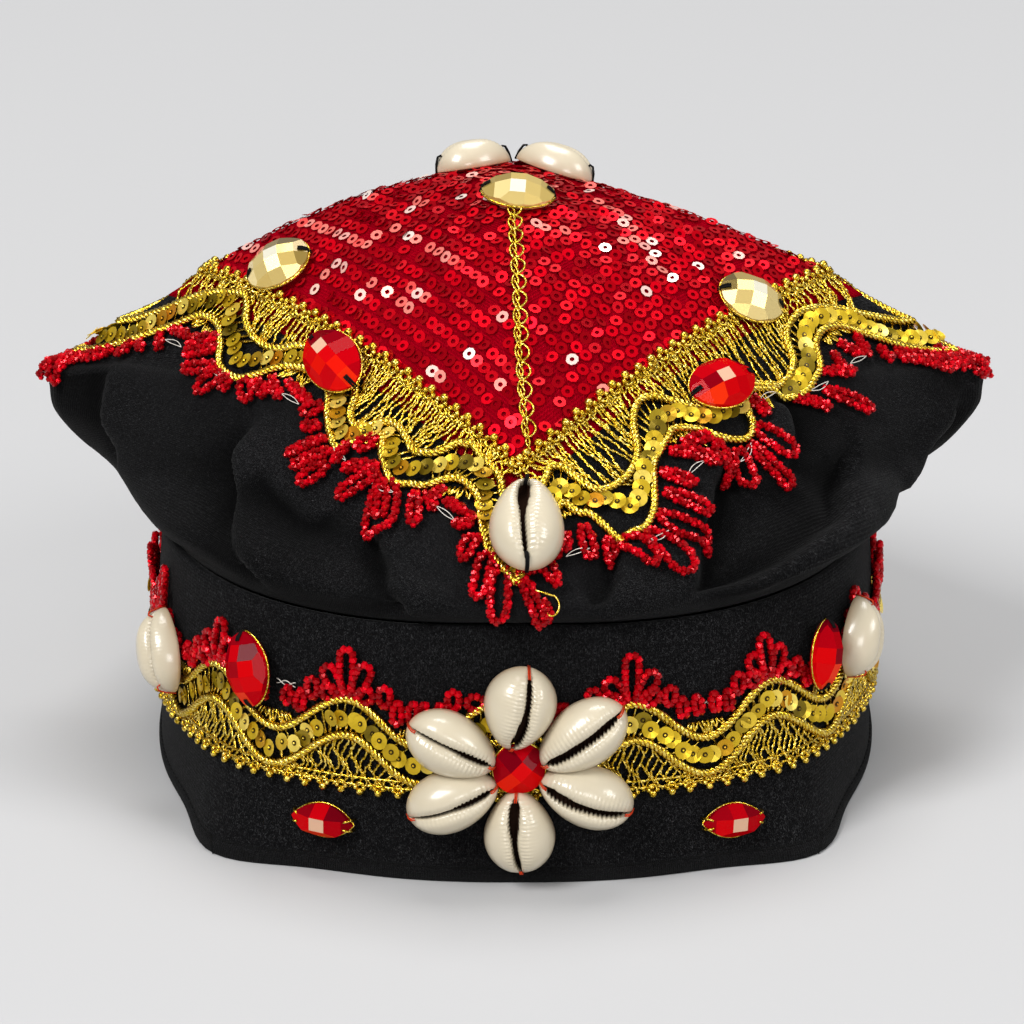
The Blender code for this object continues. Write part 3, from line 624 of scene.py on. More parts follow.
chance = np.random.default_rng(7)
spots, heads = [], []
for face in TOP_FACES:
    way = np.array((face.right, face.back)) / math.hypot(face.right, face.back)
    beside = np.array((-way[1], way[0]))
    rows = np.arange(-SEQUIN_ROWS, SEQUIN_ROWS + 1) * SEQUIN_ROW_STEP
    steps = np.arange(-SEQUINS_A_ROW, SEQUINS_A_ROW + 1) * SEQUIN_STEP
    u, v = np.meshgrid(steps, rows)
    u = u + chance.uniform(0, SEQUIN_STEP, rows.shape)[:, None] + chance.normal(0, 0.00014, u.shape)
    v = v + chance.normal(0, 0.00012, v.shape)
    x, y = (u[..., None] * way + v[..., None] * beside).reshape(-1, 2).T
    angle = np.mod(np.arctan2(x, -y), math.tau)
    reach = np.hypot(x, y)
    seam = crown_form(angle, np.ones_like(angle))
    edge = np.hypot(seam[:, 0], seam[:, 1] - AXIS_Y)
    inside = (angle >= math.radians(face.first)) & (angle < math.radians(face.last))
    inside &= reach / edge < TOP_TRIM_WAY
    inside &= chance.random(len(x)) > LOST_SHARE
    spots.append(np.stack((angle[inside], reach[inside] / edge[inside]), 1))
    heads.append(np.tile((*way, 0.0), (inside.sum(), 1)))
spots, heads = np.concatenate(spots), np.concatenate(heads)
faces = crown.facing(spots[:, 0], spots[:, 1])
centres = crown.at(spots[:, 0], spots[:, 1], SEQUIN_LIFT)
faces = tipped(faces - TOP_SEQUIN_LEAN * heads, SEQUIN_TIP, chance)
sequin_places = places_on(centres, faces, heads)
# The foil's tones: up to 0.88 its own reds, dark to bright at random; from 0.90 up the pink and cream of
# painted highlights.
red_foil = toned("red_foil", (0.6, 0.004, 0.02), "tone", (
    (0.0, (0.28, 0.0, 0.004)), (0.45, (0.44, 0.0, 0.005)), (0.85, (0.70, 0.0, 0.009)),
    (0.90, (0.90, 0.03, 0.04)), (0.95, (0.93, 0.25, 0.20)), (1.0, (0.98, 0.85, 0.76)),
), 0.30, 0.45, Specular_IOR_Level=0.05)
# Painted highlights: a few sequins get pale tones, pink to cream, as if they mirrored a lamp: short runs of
# them at random, and the ones on the two ridges.
tones = chance.random(len(sequin_places)) * 0.88
LIT_RUNS, LIT_REACH, LIT_ACROSS = 105, 0.0062, 0.0012
for start in chance.integers(0, len(centres), LIT_RUNS):
    away = centres - centres[start]
    along = away @ (heads[start] / np.linalg.norm(heads[start]))
    near = (np.abs(along) < LIT_REACH) & (np.linalg.norm(away, axis=1) ** 2 - along**2 < LIT_ACROSS**2)
    near &= chance.random(len(centres)) < 0.5
    tones[near] = chance.uniform(0.89, 0.97, near.sum())
    tones[start] = chance.uniform(0.93, 1.0)
LEFT_RIDGE = ((-65.4, 0.40), (-65, 0.56), (-62.6, 0.675), (-64, 0.76), (-63.5, 0.87))
RIGHT_RIDGE = ((79.3, 0.263), (65.8, 0.412), (58.7, 0.60), (55.8, 0.75))
RIDGE_REACH = 0.0014
for ridge in (LEFT_RIDGE, RIGHT_RIDGE):
    ridge_line = crown.at(*along_run(ridge, 60))
    near = np.linalg.norm(centres[:, None] - ridge_line[None], axis=2).min(axis=1) < RIDGE_REACH
    near &= chance.random(len(centres)) < 0.8
    tones[near] = chance.uniform(0.93, 1.0, near.sum())
sequin = ring_shape(SEQUIN_RADIUS, SEQUIN_HOLE, SEQUIN_THICK, SEQUIN_SIDES)
red_sequins = strewn("red_sequins", sequin, sequin_places, red_foil, tones, smooth=False)
sewn_on(red_sequins, "red_cloth", "crown_top")

# The gold lace on the crown's seam: picots over the red cloth, a net of knotty threads, and two twisted
# cords that run in scallops with overlapping sequins between them. Its runs are in degrees and ways.
CORD_PLY, CORD_TWIST = 0.00060, 0.00060
CORD_PITCH = 0.0038
CORD_STEP = 0.00060
CORD_LIFT = 0.0014
NET_LIFT = 0.0007
NET_THREAD, NET_SWELL = 0.00036, 0.34
NET_WAVE, NET_PITCH = 0.00010, 0.0024
NET_STEP = 0.00058
FINE_STEP, TINY = 0.0002, 1e-12
PICOT_PITCH = 0.0041
STRANDS_PER_PICOT = 4.3
NET_SWAY = 0.0065
LEFT_OUTER = (
    (-90, 2.00), (-86.5, 1.80), (-83.5, 1.575), (-80, 1.36), (-76.6, 1.42), (-73.2, 1.65), (-67, 2.10),
    (-63, 2.20), (-60.6, 2.05), (-55, 1.70), (-49.1, 1.625), (-42.9, 1.75), (-38.8, 2.2), (-36.7, 2.60),
    (-33.2, 2.76), (-30.8, 2.45), (-28.9, 2.10), (-26.5, 1.90), (-24.2, 2.30), (-21.3, 2.75),
    (-19.3, 2.72), (-16.4, 2.35), (-13.1, 1.90), (-9.5, 1.60), (-7.3, 1.55), (-4.9, 1.90), (-3, 2.40),
    (-1, 2.6), (0, 2.60),
)
LEFT_INNER = (
    (-90, 1.60), (-87.2, 1.40), (-84.6, 1.15), (-81.9, 1.03), (-78.6, 0.99), (-74.9, 1.01),
    (-71.6, 1.25), (-65.8, 1.50), (-61.6, 1.525), (-55.8, 1.25), (-49, 1.12), (-43, 1.14), (-38.5, 1.25),
    (-36.2, 1.575), (-34.2, 1.95), (-31.8, 2.05), (-27.9, 1.775), (-25.2, 1.62), (-23, 1.625),
    (-20.9, 1.70), (-19.3, 1.78), (-15.1, 1.575), (-10.4, 1.05), (-5.7, 1.0), (-3.2, 1.02),
    (-2.3, 1.225), (-1.2, 1.55), (0, 1.62),
)
RIGHT_OUTER = (
    (0, 2.60), (3, 2.30), (6, 1.80), (7.6, 1.80), (9, 2.05), (11, 2.60), (13.7, 3.04), (16.4, 3.19),
    (18.4, 3.20), (21.3, 3.12), (23, 2.95), (26.5, 2.40), (29.4, 2.15), (30.8, 2.06), (33.2, 2.15),
    (35.7, 2.40), (38.3, 2.70), (41.9, 2.90), (45.5, 2.95), (48.1, 2.85), (48.9, 2.55), (50.4, 2.15),
    (55.8, 2.25), (59.7, 2.62), (64, 2.65), (67.9, 2.30), (73.6, 1.70), (76.9, 1.55), (80, 1.525),
    (82.9, 1.70), (86.3, 1.92), (90, 2.00),
)
RIGHT_INNER = (
    (0, 1.62), (2.5, 1.5), (5.2, 1.225), (6.3, 1.15), (8.1, 1.30), (9.8, 1.575), (11.4, 1.825),
    (13.1, 2.05), (15.4, 2.30), (18.4, 2.40), (20.5, 2.25), (22.6, 1.975), (24.2, 1.5), (25.4, 1.31),
    (27.5, 1.225), (30.3, 1.325), (33.7, 1.60), (36.7, 1.825), (38.8, 1.95), (43, 1.98), (48, 1.9),
    (54.3, 2.05), (57.8, 2.20), (61.6, 2.15), (65.8, 1.90), (71.2, 1.35), (74.9, 1.225), (79.3, 1.225),
    (82.7, 1.30), (86, 1.45), (90, 1.60),
)
# The chains of sequins, laid between the two cords.
LEFT_CHAINS = (
    (
        (-90, 1.80), (-87, 1.70), (-85.6, 1.50), (-84.3, 1.30), (-83.2, 1.225), (-81.6, 1.15),
        (-79.6, 1.10), (-77.4, 1.10), (-75.9, 1.18), (-74.9, 1.30), (-73.2, 1.475), (-70.3, 1.64),
        (-68.3, 1.77), (-66.4, 1.85), (-64.5, 1.86), (-62.1, 1.80), (-59.7, 1.70), (-56.8, 1.62),
        (-52, 1.45), (-46, 1.42), (-42, 1.50), (-39.8, 1.75), (-37.2, 2.0), (-35.7, 2.25), (-34.4, 2.42),
        (-32.4, 2.36), (-30, 2.10), (-27.5, 1.88), (-25.4, 1.82), (-24, 1.92), (-23.2, 2.08),
        (-22.2, 2.22), (-20.5, 2.25), (-18, 2.08), (-15.8, 1.88), (-13.7, 1.70), (-11.7, 1.52),
        (-9.8, 1.35), (-7.6, 1.20), (-6.2, 1.18), (-5.4, 1.30), (-5.0, 1.55), (-3.8, 1.85), (-2, 2.05),
        (0, 2.1),
    ),
)
RIGHT_CHAINS = (
    (
        (0, 2.1), (3.4, 1.95), (5.4, 1.6), (7, 1.55), (8.1, 1.65), (11, 2.1), (13.1, 2.45), (14.8, 2.72),
        (16.8, 2.92), (18.8, 2.98), (20.6, 2.88), (22.2, 2.65), (23.4, 2.42), (24.6, 2.22), (26, 2.04),
        (27.4, 1.9), (29.4, 1.79), (31.3, 1.77), (34.2, 1.88), (36.2, 2.02), (38.3, 2.18), (41.9, 2.37),
        (45.5, 2.48), (48, 2.46),
    ),
    (
        (61, 2.48), (62.6, 2.42), (65, 2.22), (67.4, 2.0), (69.9, 1.8), (72, 1.6), (74.2, 1.44),
        (77.3, 1.36), (80, 1.38), (81.9, 1.43), (83.5, 1.5), (84.6, 1.62), (86, 1.75), (90, 1.80),
    ),
)


def reaches(line):
    """How far along a line each of its points lies."""
    return np.concatenate(((0,), np.cumsum(np.linalg.norm(np.diff(line, axis=0), axis=1))))


def resampled(line, step, *others):
    """A line of points at even steps, with whatever else is given along it."""
    reach = reaches(line)
    count = max(2, round(reach[-1] / step) + 1)
    even = np.linspace(0, reach[-1], count)
    along = [np.stack([np.interp(even, reach, axis) for axis in np.atleast_2d(line.T)], 1)]
    along += [np.interp(even, reach, other) for other in others]
    return along


def laid(cloth, run, lift, step):
    """A smooth line on a cloth through places in degrees and marks: its points, angles and marks."""
    run = np.array(run, float)
    reach = reaches(cloth.at(np.radians(run[:, 0]), run[:, 1]))
    places = smooth_between(run, reach, np.linspace(0, reach[-1], int(reach[-1] / FINE_STEP)))
    angle, mark = np.radians(places[:, 0]), places[:, 1]
    return resampled(cloth.at(angle, mark, lift), step, angle, mark)


def twisted(line, faces, radius, pitch, plies=2, start=0.0):
    """The plies of a cord that twist round a line, as lines of their own."""
    tangent = unit(np.gradient(line, axis=0), TINY)
    side = unit(np.cross(faces, tangent), TINY)
    up = np.cross(tangent, side)
    turned = math.tau * reaches(line) / pitch + start
    made = []
    for ply in range(plies):
        phase = (turned + math.tau * ply / plies)[:, None]
        made.append(line + radius * (np.cos(phase) * side + np.sin(phase) * up))
    return made


def cord_plies(cloth, line, angle, mark):
    """The three plies of a lace cord along a line on a cloth."""
    return twisted(line, cloth.facing(angle, mark), CORD_TWIST, CORD_PITCH, 3)


def net_thread(cloth, line, angle, mark, start=0.0):
    """A thread of the net along a line on a cloth, with a fine wave in it."""
    return twisted(line, cloth.facing(angle, mark), NET_WAVE, NET_PITCH, 1, start)


def threads(name, lines, radius, material, resolution=1, swell=0.0):
    """One piece of round threads along lines. The resolution 0 gives four sides, 1 six and 2 eight. With
    a swell, every other point is thicker and the ones between are thinner, by this share."""
    curve = bpy.data.curves.new(name, "CURVE")
    curve.dimensions = "3D"
    curve.bevel_depth = radius
    curve.bevel_resolution = resolution
    curve.use_fill_caps = True
    for line in lines:
        spline = curve.splines.new("POLY")
        spline.points.add(len(line) - 1)
        spline.points.foreach_set("co", np.concatenate((line, np.ones((len(line), 1))), axis=1).ravel())
        spline.points.foreach_set("radius", 1 + swell * (-1.0) ** np.arange(len(line)))
    strung = bpy.data.objects.new(name + "_curve", curve)
    bpy.context.collection.objects.link(strung)
    mesh = bpy.data.meshes.new_from_object(strung.evaluated_get(bpy.context.evaluated_depsgraph_get()))
    bpy.data.objects.remove(strung)
    bpy.data.curves.remove(curve)
    bm = bmesh.new()
    bm.from_mesh(mesh)
    bpy.data.meshes.remove(mesh)
    bmesh.ops.remove_doubles(bm, verts=bm.verts, dist=1e-7)
    bmesh.ops.recalc_face_normals(bm, faces=bm.faces)
    return piece(name, bm, material)


def spun_gold(name, stops, relief):
    """A thread wrapped in metal strip: its tones and its relief both come from one fine noise."""
    material, surface = new_material(name, stops[1][1], 0.26, 1.0)
    tree = material.node_tree
    own_place = node(tree, "ShaderNodeTexCoord")
    glitter = node(tree, "ShaderNodeTexNoise", Scale=1900.0, Detail=2.0, Roughness=0.6)
    feed(glitter, Vector=own_place.outputs["Object"])
    bump = node(tree, "ShaderNodeBump", Strength=1.0, Distance=relief, Height=glitter.outputs["Fac"])
    feed(surface, Base_Color=colours_by(tree, glitter.outputs["Fac"], stops), Normal=bump.outputs["Normal"])
    return material


gold_thread = spun_gold("gold_thread", (
    (0.34, (0.20, 0.115, 0.004)), (0.50, (0.66, 0.42, 0.020)), (0.66, (1.0, 0.82, 0.24)),
), 0.00011)
gold_cord = spun_gold("gold_cord", (
    (0.30, (0.36, 0.21, 0.008)), (0.50, (0.74, 0.49, 0.030)), (0.68, (1.0, 0.84, 0.28)),
), 0.00005)

gold_foil, surface = new_material("gold_foil", (0.83, 0.55, 0.07), 0.32, 0.6, Specular_IOR_Level=0.3)
tree = gold_foil.node_tree
own_tone = node(tree, "ShaderNodeAttribute", attribute_name="tone")
foil_colour = colours_by(tree, own_tone.outputs["Fac"], (
    (0.0, (0.16, 0.11, 0.006)), (0.16, (0.36, 0.25, 0.012)), (0.20, (0.60, 0.24, 0.008)),
    (0.26, (0.52, 0.34, 0.012)), (0.75, (0.68, 0.46, 0.020)), (1.0, (1.0, 0.78, 0.16)),
))
# Painted shade: the colour goes dark brown on the disc that lies over each sequin's hole.
hole_shade = node(tree, "ShaderNodeAttribute", attribute_name="hollow")
feed(surface, Base_Color=blend_colours(tree, hole_shade.outputs["Fac"], foil_colour, (0.035, 0.020, 0.003)))
red_glass = toned(
    "red_glass", (0.50, 0.0, 0.010), "tone",
    ((0.0, (0.22, 0.0, 0.002)), (0.6, (0.42, 0.0, 0.004)), (1.0, (0.72, 0.0, 0.010))), 0.16, 0.35,
    Specular_IOR_Level=0.45, Specular_Tint=(1.0, 0.08, 0.08, 1.0), Coat_Weight=0.24, Coat_Roughness=0.02,
)

SEQUIN_CHAIN_STEP, CHAIN_LIFT = 0.0030, 0.0017
GOLD_SEQUIN_HOLE = 0.00048
GOLD_SEQUIN_THICK, GOLD_SEQUIN_CUP, GOLD_SEQUIN_SIDES = 0.00014, 0.0003, 13
SHADE_DISC_RADIUS, SHADE_DISC_HEIGHT = 0.00064, 0.00026
HOLDER_RADIUS, HOLDER_HEIGHT = 0.00031, 0.00036
# The sequins of a lace: how large they are, how far out of line, how steeply they lean, and how far they
# have tipped over.
SequinRow = namedtuple("SequinRow", "radius jitter lean tip")
LACE_ROW, BAND_ROW = SequinRow(0.00218, 0.0002, 0.30, 0.06), SequinRow(0.00208, 0.0004, 0.20, 0.08)


def gold_sequin(radius):
    """A disc, a dark disc of painted shade over its hole, and the small gold bead in the hole that holds the
    disc.
    """
    bm = ring_shape(radius, GOLD_SEQUIN_HOLE, GOLD_SEQUIN_THICK, GOLD_SEQUIN_SIDES, GOLD_SEQUIN_CUP)
    hollow = bm.verts.layers.float.new("hollow")
    # Painted shade: a dark disc lies just over the hole.
    raised = Matrix.Translation((0, 0, SHADE_DISC_HEIGHT))
    shade_disc = bmesh.ops.create_circle(bm, segments=9, radius=SHADE_DISC_RADIUS, cap_ends=True, matrix=raised)
    for vert in shade_disc["verts"]:
        vert[hollow] = 1.0
    raised = Matrix.Translation((0, 0, HOLDER_HEIGHT))
    bmesh.ops.create_icosphere(bm, subdivisions=1, radius=HOLDER_RADIUS, matrix=raised)
    return bm


PICOT_REACH, PICOT_RADIUS, PICOT_HEIGHT = 0.00100, 0.00043, 0.00040
KNOT_HEIGHT = 0.0006
BIG_KNOT, BIG_KNOT_AT = 0.00102, (0, 0.00125)
SMALL_KNOT, SMALL_KNOTS_AT = 0.00066, ((-0.00105, 0.0003), (0.00105, 0.0003))
ROUNDED_OUT = 1.08


def picot_shape(size=1.0):
    """A picot: a small ring of thread that ends in a big knot, on the XY plane, its knot towards +Y."""
    bm = bmesh.new()
    upright = Matrix.Translation((PICOT_REACH, 0, PICOT_HEIGHT)) @ Matrix.Rotation(math.pi / 2, 4, "X")
    bmesh.ops.create_circle(bm, segments=4, radius=PICOT_RADIUS, matrix=upright)
    spun(bm, bm.verts[:] + bm.edges[:], 8)
    knot = Matrix.Translation((*BIG_KNOT_AT, KNOT_HEIGHT))
    bmesh.ops.create_uvsphere(bm, u_segments=7, v_segments=5, radius=BIG_KNOT, matrix=knot)
    for place in SMALL_KNOTS_AT:
        knot = Matrix.Translation((*place, KNOT_HEIGHT))
        bmesh.ops.create_icosphere(bm, subdivisions=1, radius=SMALL_KNOT * ROUNDED_OUT, matrix=knot)
    bmesh.ops.scale(bm, verts=bm.verts, vec=(size, size, size))
    bmesh.ops.remove_doubles(bm, verts=bm.verts, dist=1e-6)
    bmesh.ops.recalc_face_normals(bm, faces=bm.faces)
    return bm


def bead_shape(radius):
    """A seed bead. There are thousands of them, so each has few faces."""
    bm = bmesh.new()
    bmesh.ops.create_icosphere(bm, subdivisions=1, radius=radius * 1.07)
    return bm


def nudged(cloth, angle, mark, step, small=0.001):
    """The angles and marks of places that lie a step in metres from these."""
    by_angle = (cloth.at(angle + small, mark) - cloth.at(angle - small, mark)) / (2 * small)
    by_mark = (cloth.at(angle, mark + small) - cloth.at(angle, mark - small)) / (2 * small)
    aa = (by_angle * by_angle).sum(axis=-1)
    mm = (by_mark * by_mark).sum(axis=-1)
    am = (by_angle * by_mark).sum(axis=-1)
    pa = (by_angle * step).sum(axis=-1)
    pm = (by_mark * step).sum(axis=-1)
    spread = aa * mm - am * am
    return angle + (pa * mm - pm * am) / spread, mark + (pm * aa - pa * am) / spread


LEG_SAMPLES, TIP_SAMPLES = 16, 17
NARROWEST = 0.0012
STRAND_REACH, STRAND_TWIST, STRAND_PITCH = 1.62, 0.62, 5.2
BEAD_JITTER, BEAD_TIP = 0.00003, 0.06


def loop_shape(length, width):
    """A narrow loop with a round tip: how far along it the places are, as shares, and how far aside."""
    leg = np.linspace(0, 1, LEG_SAMPLES)
    tip = np.linspace(0, math.pi, TIP_SAMPLES)[1:-1]
    straight = max(length - width / 2, length * 0.4)
    opening = np.clip(leg / 0.6, 0, 1)
    spread = width / 2 * (0.3 + 0.7 * opening * (2 - opening))
    rounding = straight + (length - straight) * np.sin(tip)
    along = np.concatenate((leg * straight, rounding, leg[::-1] * straight))
    aside = np.concatenate((spread, width / 2 * np.cos(tip), -spread[::-1]))
    return along / length, aside


def bead_loops(name, cloth, loops, material, radius, step, rows):
    """Loops of seed beads, each from a foot to a tip in degrees and marks, with a width and a lift."""
    strand = radius if rows == 1 else radius * STRAND_REACH
    spots, ways, faces = [], [], []
    for foot_angle, foot_mark, tip_angle, tip_mark, width, lift in loops:
        axis = cloth.at(np.radians(tip_angle), tip_mark) - cloth.at(np.radians(foot_angle), foot_mark)
        share, aside = loop_shape(np.linalg.norm(axis), max(width - 2 * strand, NARROWEST))
        angle = np.radians(foot_angle + (tip_angle - foot_angle) * share)
        mark = foot_mark + (tip_mark - foot_mark) * share
        beside = unit(np.cross(cloth.facing(angle, mark), axis))
        angle, mark = nudged(cloth, angle, mark, beside * aside[:, None])
        raised = strand + lift * (0.3 + 0.7 * np.sin(math.pi * np.linspace(0, 1, len(share))) ** 0.7)
        strung, angle, mark = resampled(cloth.at(angle, mark, raised), step, angle, mark)
        out = cloth.facing(angle, mark)
        lines = [strung]
        if rows > 1:
            lines = twisted(strung, out, radius * STRAND_TWIST, step * STRAND_PITCH, rows)
        for line in lines:
            spots.append(line)
            ways.append(np.gradient(line, axis=0))
            faces.append(out)
    spots, ways, faces = np.concatenate(spots), unit(np.concatenate(ways)), np.concatenate(faces)
    spots = spots + chance.normal(0, BEAD_JITTER, spots.shape)
    places = places_on(spots, tipped(ways, BEAD_TIP, chance), faces)
    return strewn(name, bead_shape(radius), places, material, chance.random(len(places)), smooth=False)


# Each loop of beads: its foot and its tip, in degrees and ways, and its width in millimetres.
LEFT_LOOPS = (
    (-91, 1.90, -91.5, 2.55, 4.6), (-90, 2.05, -90, 2.85, 5.0), (-89, 2.0, -89.3, 2.5, 4.4),
    (-87.2, 1.93, -88.4, 2.20, 4.6), (-85.8, 1.85, -84.8, 2.15, 3.8), (-85.1, 1.82, -82.9, 1.98, 3.6),
    (-83.7, 1.70, -81.3, 1.90, 3.0), (-82.9, 1.62, -79.0, 1.68, 3.0), (-73.9, 1.62, -77.6, 1.77, 4.5),
    (-72.0, 1.77, -76.3, 1.95, 4.2), (-68.7, 2.05, -73.6, 2.35, 4.9), (-66.6, 2.20, -67.9, 2.80, 5.8),
    (-65.4, 2.20, -63.5, 2.65, 4.5), (-61.6, 2.20, -57.3, 2.70, 5.4), (-58.7, 2.10, -54.8, 2.45, 4.2),
    (-56.3, 1.95, -51.7, 2.30, 3.8), (-52.3, 1.93, -44.5, 2.10, 3.8), (-41.4, 2.05, -45.0, 2.40, 4.9),
    (-39.8, 2.60, -42.9, 2.75, 4.3), (-37.2, 2.75, -42.4, 3.06, 3.8), (-34.6, 2.85, -39.8, 3.12, 4.3),
    (-34.2, 3.00, -36.7, 3.20, 5.5), (-31.8, 2.60, -32.7, 2.95, 2.8), (-27.0, 1.98, -29.8, 2.60, 5.0),
    (-24.6, 2.70, -30.3, 2.95, 4.3), (-23.8, 2.80, -28.9, 3.16, 5.2), (-22.6, 2.85, -20.5, 3.16, 4.6),
    (-22.1, 2.80, -19.7, 3.26, 8.8), (-16.4, 2.70, -15.1, 3.08, 4.5), (-14.1, 2.45, -12.7, 2.70, 3.2),
    (-12.1, 1.93, -14.4, 2.55, 3.8), (-7.3, 1.95, -11.0, 2.10, 3.2), (-6.5, 1.90, -9.0, 2.75, 4.2),
    (-5.2, 2.20, -7.1, 3.09, 5.0), (-3.7, 2.45, -4.6, 3.38, 5.4), (-2.1, 2.55, -1.9, 3.59, 6.3),
    (0.2, 2.10, 5.2, 3.25, 5.8), (0.5, 2.70, 3.0, 3.69, 4.5),
)
RIGHT_LOOPS = (
    (3.1, 3.35, 3.9, 3.66, 3.4), (6.3, 2.85, 4.6, 2.90, 2.8), (7.3, 2.65, 6.8, 2.95, 2.8),
    (10.0, 2.80, 10.0, 3.16, 4.9), (13.1, 3.08, 13.1, 3.33, 4.9), (15.8, 3.19, 18.8, 3.52, 6.5),
    (19.3, 3.23, 23.4, 3.61, 7.6), (22.1, 3.16, 27.9, 3.51, 6.6), (24.6, 3.04, 29.4, 3.30, 4.9),
    (25.5, 2.85, 29.8, 3.10, 4.5), (28.9, 2.65, 35.2, 3.04, 4.5), (32.2, 2.60, 37.7, 2.75, 4.2),
    (38.8, 2.85, 37.2, 3.15, 5.4), (41.9, 3.00, 41.4, 3.26, 6.0), (45.0, 3.01, 48.6, 3.36, 5.4),
    (48.1, 2.90, 51.2, 3.17, 6.4), (51.2, 2.30, 52.3, 2.80, 4.5), (61.1, 2.70, 65.0, 2.95, 3.6),
    (66.6, 2.75, 71.6, 3.06, 4.7), (69.5, 2.25, 73.9, 2.50, 3.4), (74.6, 1.90, 72.4, 2.55, 3.2),
    (77.6, 1.77, 78.6, 1.98, 3.4), (81.3, 1.70, 79.6, 2.00, 3.6), (82.4, 1.90, 81.6, 2.20, 3.9),
    (83.7, 2.15, 87.0, 2.60, 4.2), (84.0, 1.98, 88.4, 2.40, 5.4), (88.4, 2.05, 90.0, 2.60, 4.6),
    (90.0, 2.10, 91.0, 2.95, 4.6),
)

# The beads hang on a fine pale thread, which shows as a doubled link between the fans of loops.
LEFT_LINKS = (
    (-88, 1.98), (-79.6, 1.83), (-66, 2.35), (-48.6, 2.28), (-33, 2.85), (-22, 2.95), (-10.7, 2.65),
    (-3.5, 2.75),
)
RIGHT_LINKS = (
    (3.5, 3.0), (7.9, 3.05), (20, 3.33), (31.3, 3.0), (43, 3.06), (54.3, 2.5), (66, 2.7), (76.6, 2.12),
    (87, 2.2),
)
LINK_BULGE, LINK_LIFT, LINK_STEP, LINK_SPAN = 0.00055, 0.0019, 0.0008, 4
PALE_THREAD, BAND_PALE_THREAD = 0.00011, 0.00013
pale_thread, _ = new_material("pale_thread", (0.66, 0.61, 0.54), 0.40, 0.15)
LEFT_FANS = ((-79.5, 1.42), (-51.5, 1.68), (-27.0, 1.95), (-8.8, 1.66))
RIGHT_FANS = ((6.9, 1.84), (31.0, 2.12), (52.5, 2.22), (78.5, 1.56))
HAIRPINS, HAIRPIN_STEP, HAIRPIN_LENGTH, HAIRPIN_WIDTH = 7, 0.0012, 0.0040, 0.0010
HAIRPIN_SPLAY = 90
HAIRPIN_SAMPLES = 9


def hairpins(cloth, deg, mark):
    """Small loops of net thread that hang side by side below a place in degrees and a mark."""
    made = []
    angle, mark = np.array(math.radians(deg)), np.array(float(mark))
    down = unit(cloth.at(angle, mark + 0.02) - cloth.at(angle, mark - 0.02))
    across = np.cross(cloth.facing(angle, mark), down)
    half_turn = np.linspace(0, 1, HAIRPIN_SAMPLES) * math.pi
    for k in range(HAIRPINS):
        aside = (k - (HAIRPINS - 1) / 2) * HAIRPIN_STEP
        length = HAIRPIN_LENGTH * chance.uniform(0.45, 1.1)
        lean = chance.uniform(-0.5, 0.5) + aside * HAIRPIN_SPLAY
        fall = length * np.sin(half_turn)
        wide = aside - HAIRPIN_WIDTH / 2 * np.cos(half_turn) + lean * fall
        step = wide[:, None] * across + fall[:, None] * down
        angles, marks = nudged(cloth, np.full(len(fall), angle), np.full(len(fall), mark), step)
        made.append(cloth.at(angles, marks, NET_LIFT + 0.0006 * np.sin(half_turn)))
    return made


CROSSING_STEP, CROSSING_SLANT, CROSSING_SAMPLES = 4, 3, 6


def crossings(cloth, line, angle, mark, other_line, other_angle, other_mark):
    """Slanting strands of net from one cord to the other, under the sequins between them."""
    made = []
    for k in range(2, len(line) - 2, CROSSING_STEP):
        across = np.linalg.norm(other_line - line[k], axis=1).argmin()
        slant = CROSSING_SLANT if k % 2 else -CROSSING_SLANT
        across = min(max(across + slant, 0), len(other_line) - 1)
        share = np.linspace(0, 1, CROSSING_SAMPLES)
        angles = angle[k] + (other_angle[across] - angle[k]) * share
        marks = mark[k] + (other_mark[across] - mark[k]) * share
        made.append(cloth.at(angles, marks, NET_LIFT))
    return made


def sequin_chain(name, cloth, chains, row):
    """Gold sequins along (points, angles, marks) of lines on a cloth, each leaning on the next."""
    heads = unit(np.concatenate([np.gradient(line, axis=0) for line, _, _ in chains]))
    line, angle, mark = (np.concatenate(parts) for parts in zip(*chains))
    spots = line + chance.normal(0, row.jitter, line.shape)
    faces = tipped(cloth.facing(angle, mark) - row.lean * heads, row.tip, chance)
    places = places_on(spots, faces, heads)
    return strewn(name, gold_sequin(row.radius), places, gold_foil, chance.random(len(places)), smooth=False)


# The net hangs from the picots' edge. Each of its threads looks for the inner cord below it, and gets
# there in a wave. Two more threads wind round each other along the edge.
Lace = namedtuple("Lace", "outer inner chains loops links fans picot_way")
LEFT_LACE = Lace(LEFT_OUTER, LEFT_INNER, LEFT_CHAINS, LEFT_LOOPS, LEFT_LINKS, LEFT_FANS, 0.955)
RIGHT_LACE = Lace(RIGHT_OUTER, RIGHT_INNER, RIGHT_CHAINS, RIGHT_LOOPS, RIGHT_LINKS, RIGHT_FANS, 0.965)
LACE_SIDES = (
    ("front_left", 0, LEFT_LACE), ("front_right", 0, RIGHT_LACE),
    ("back_right", 180, LEFT_LACE), ("back_left", 180, RIGHT_LACE),
)
EDGE_SAMPLES, NET_SAMPLES = 400, 14
EDGE_WAVE, EDGE_DROP = 0.0010, 0.0012
LACE_PICOT_SIZE, PICOT_TIP = 1.15, 0.15
LACE_BEAD, LACE_BEAD_STEP = 0.00074, 0.00104
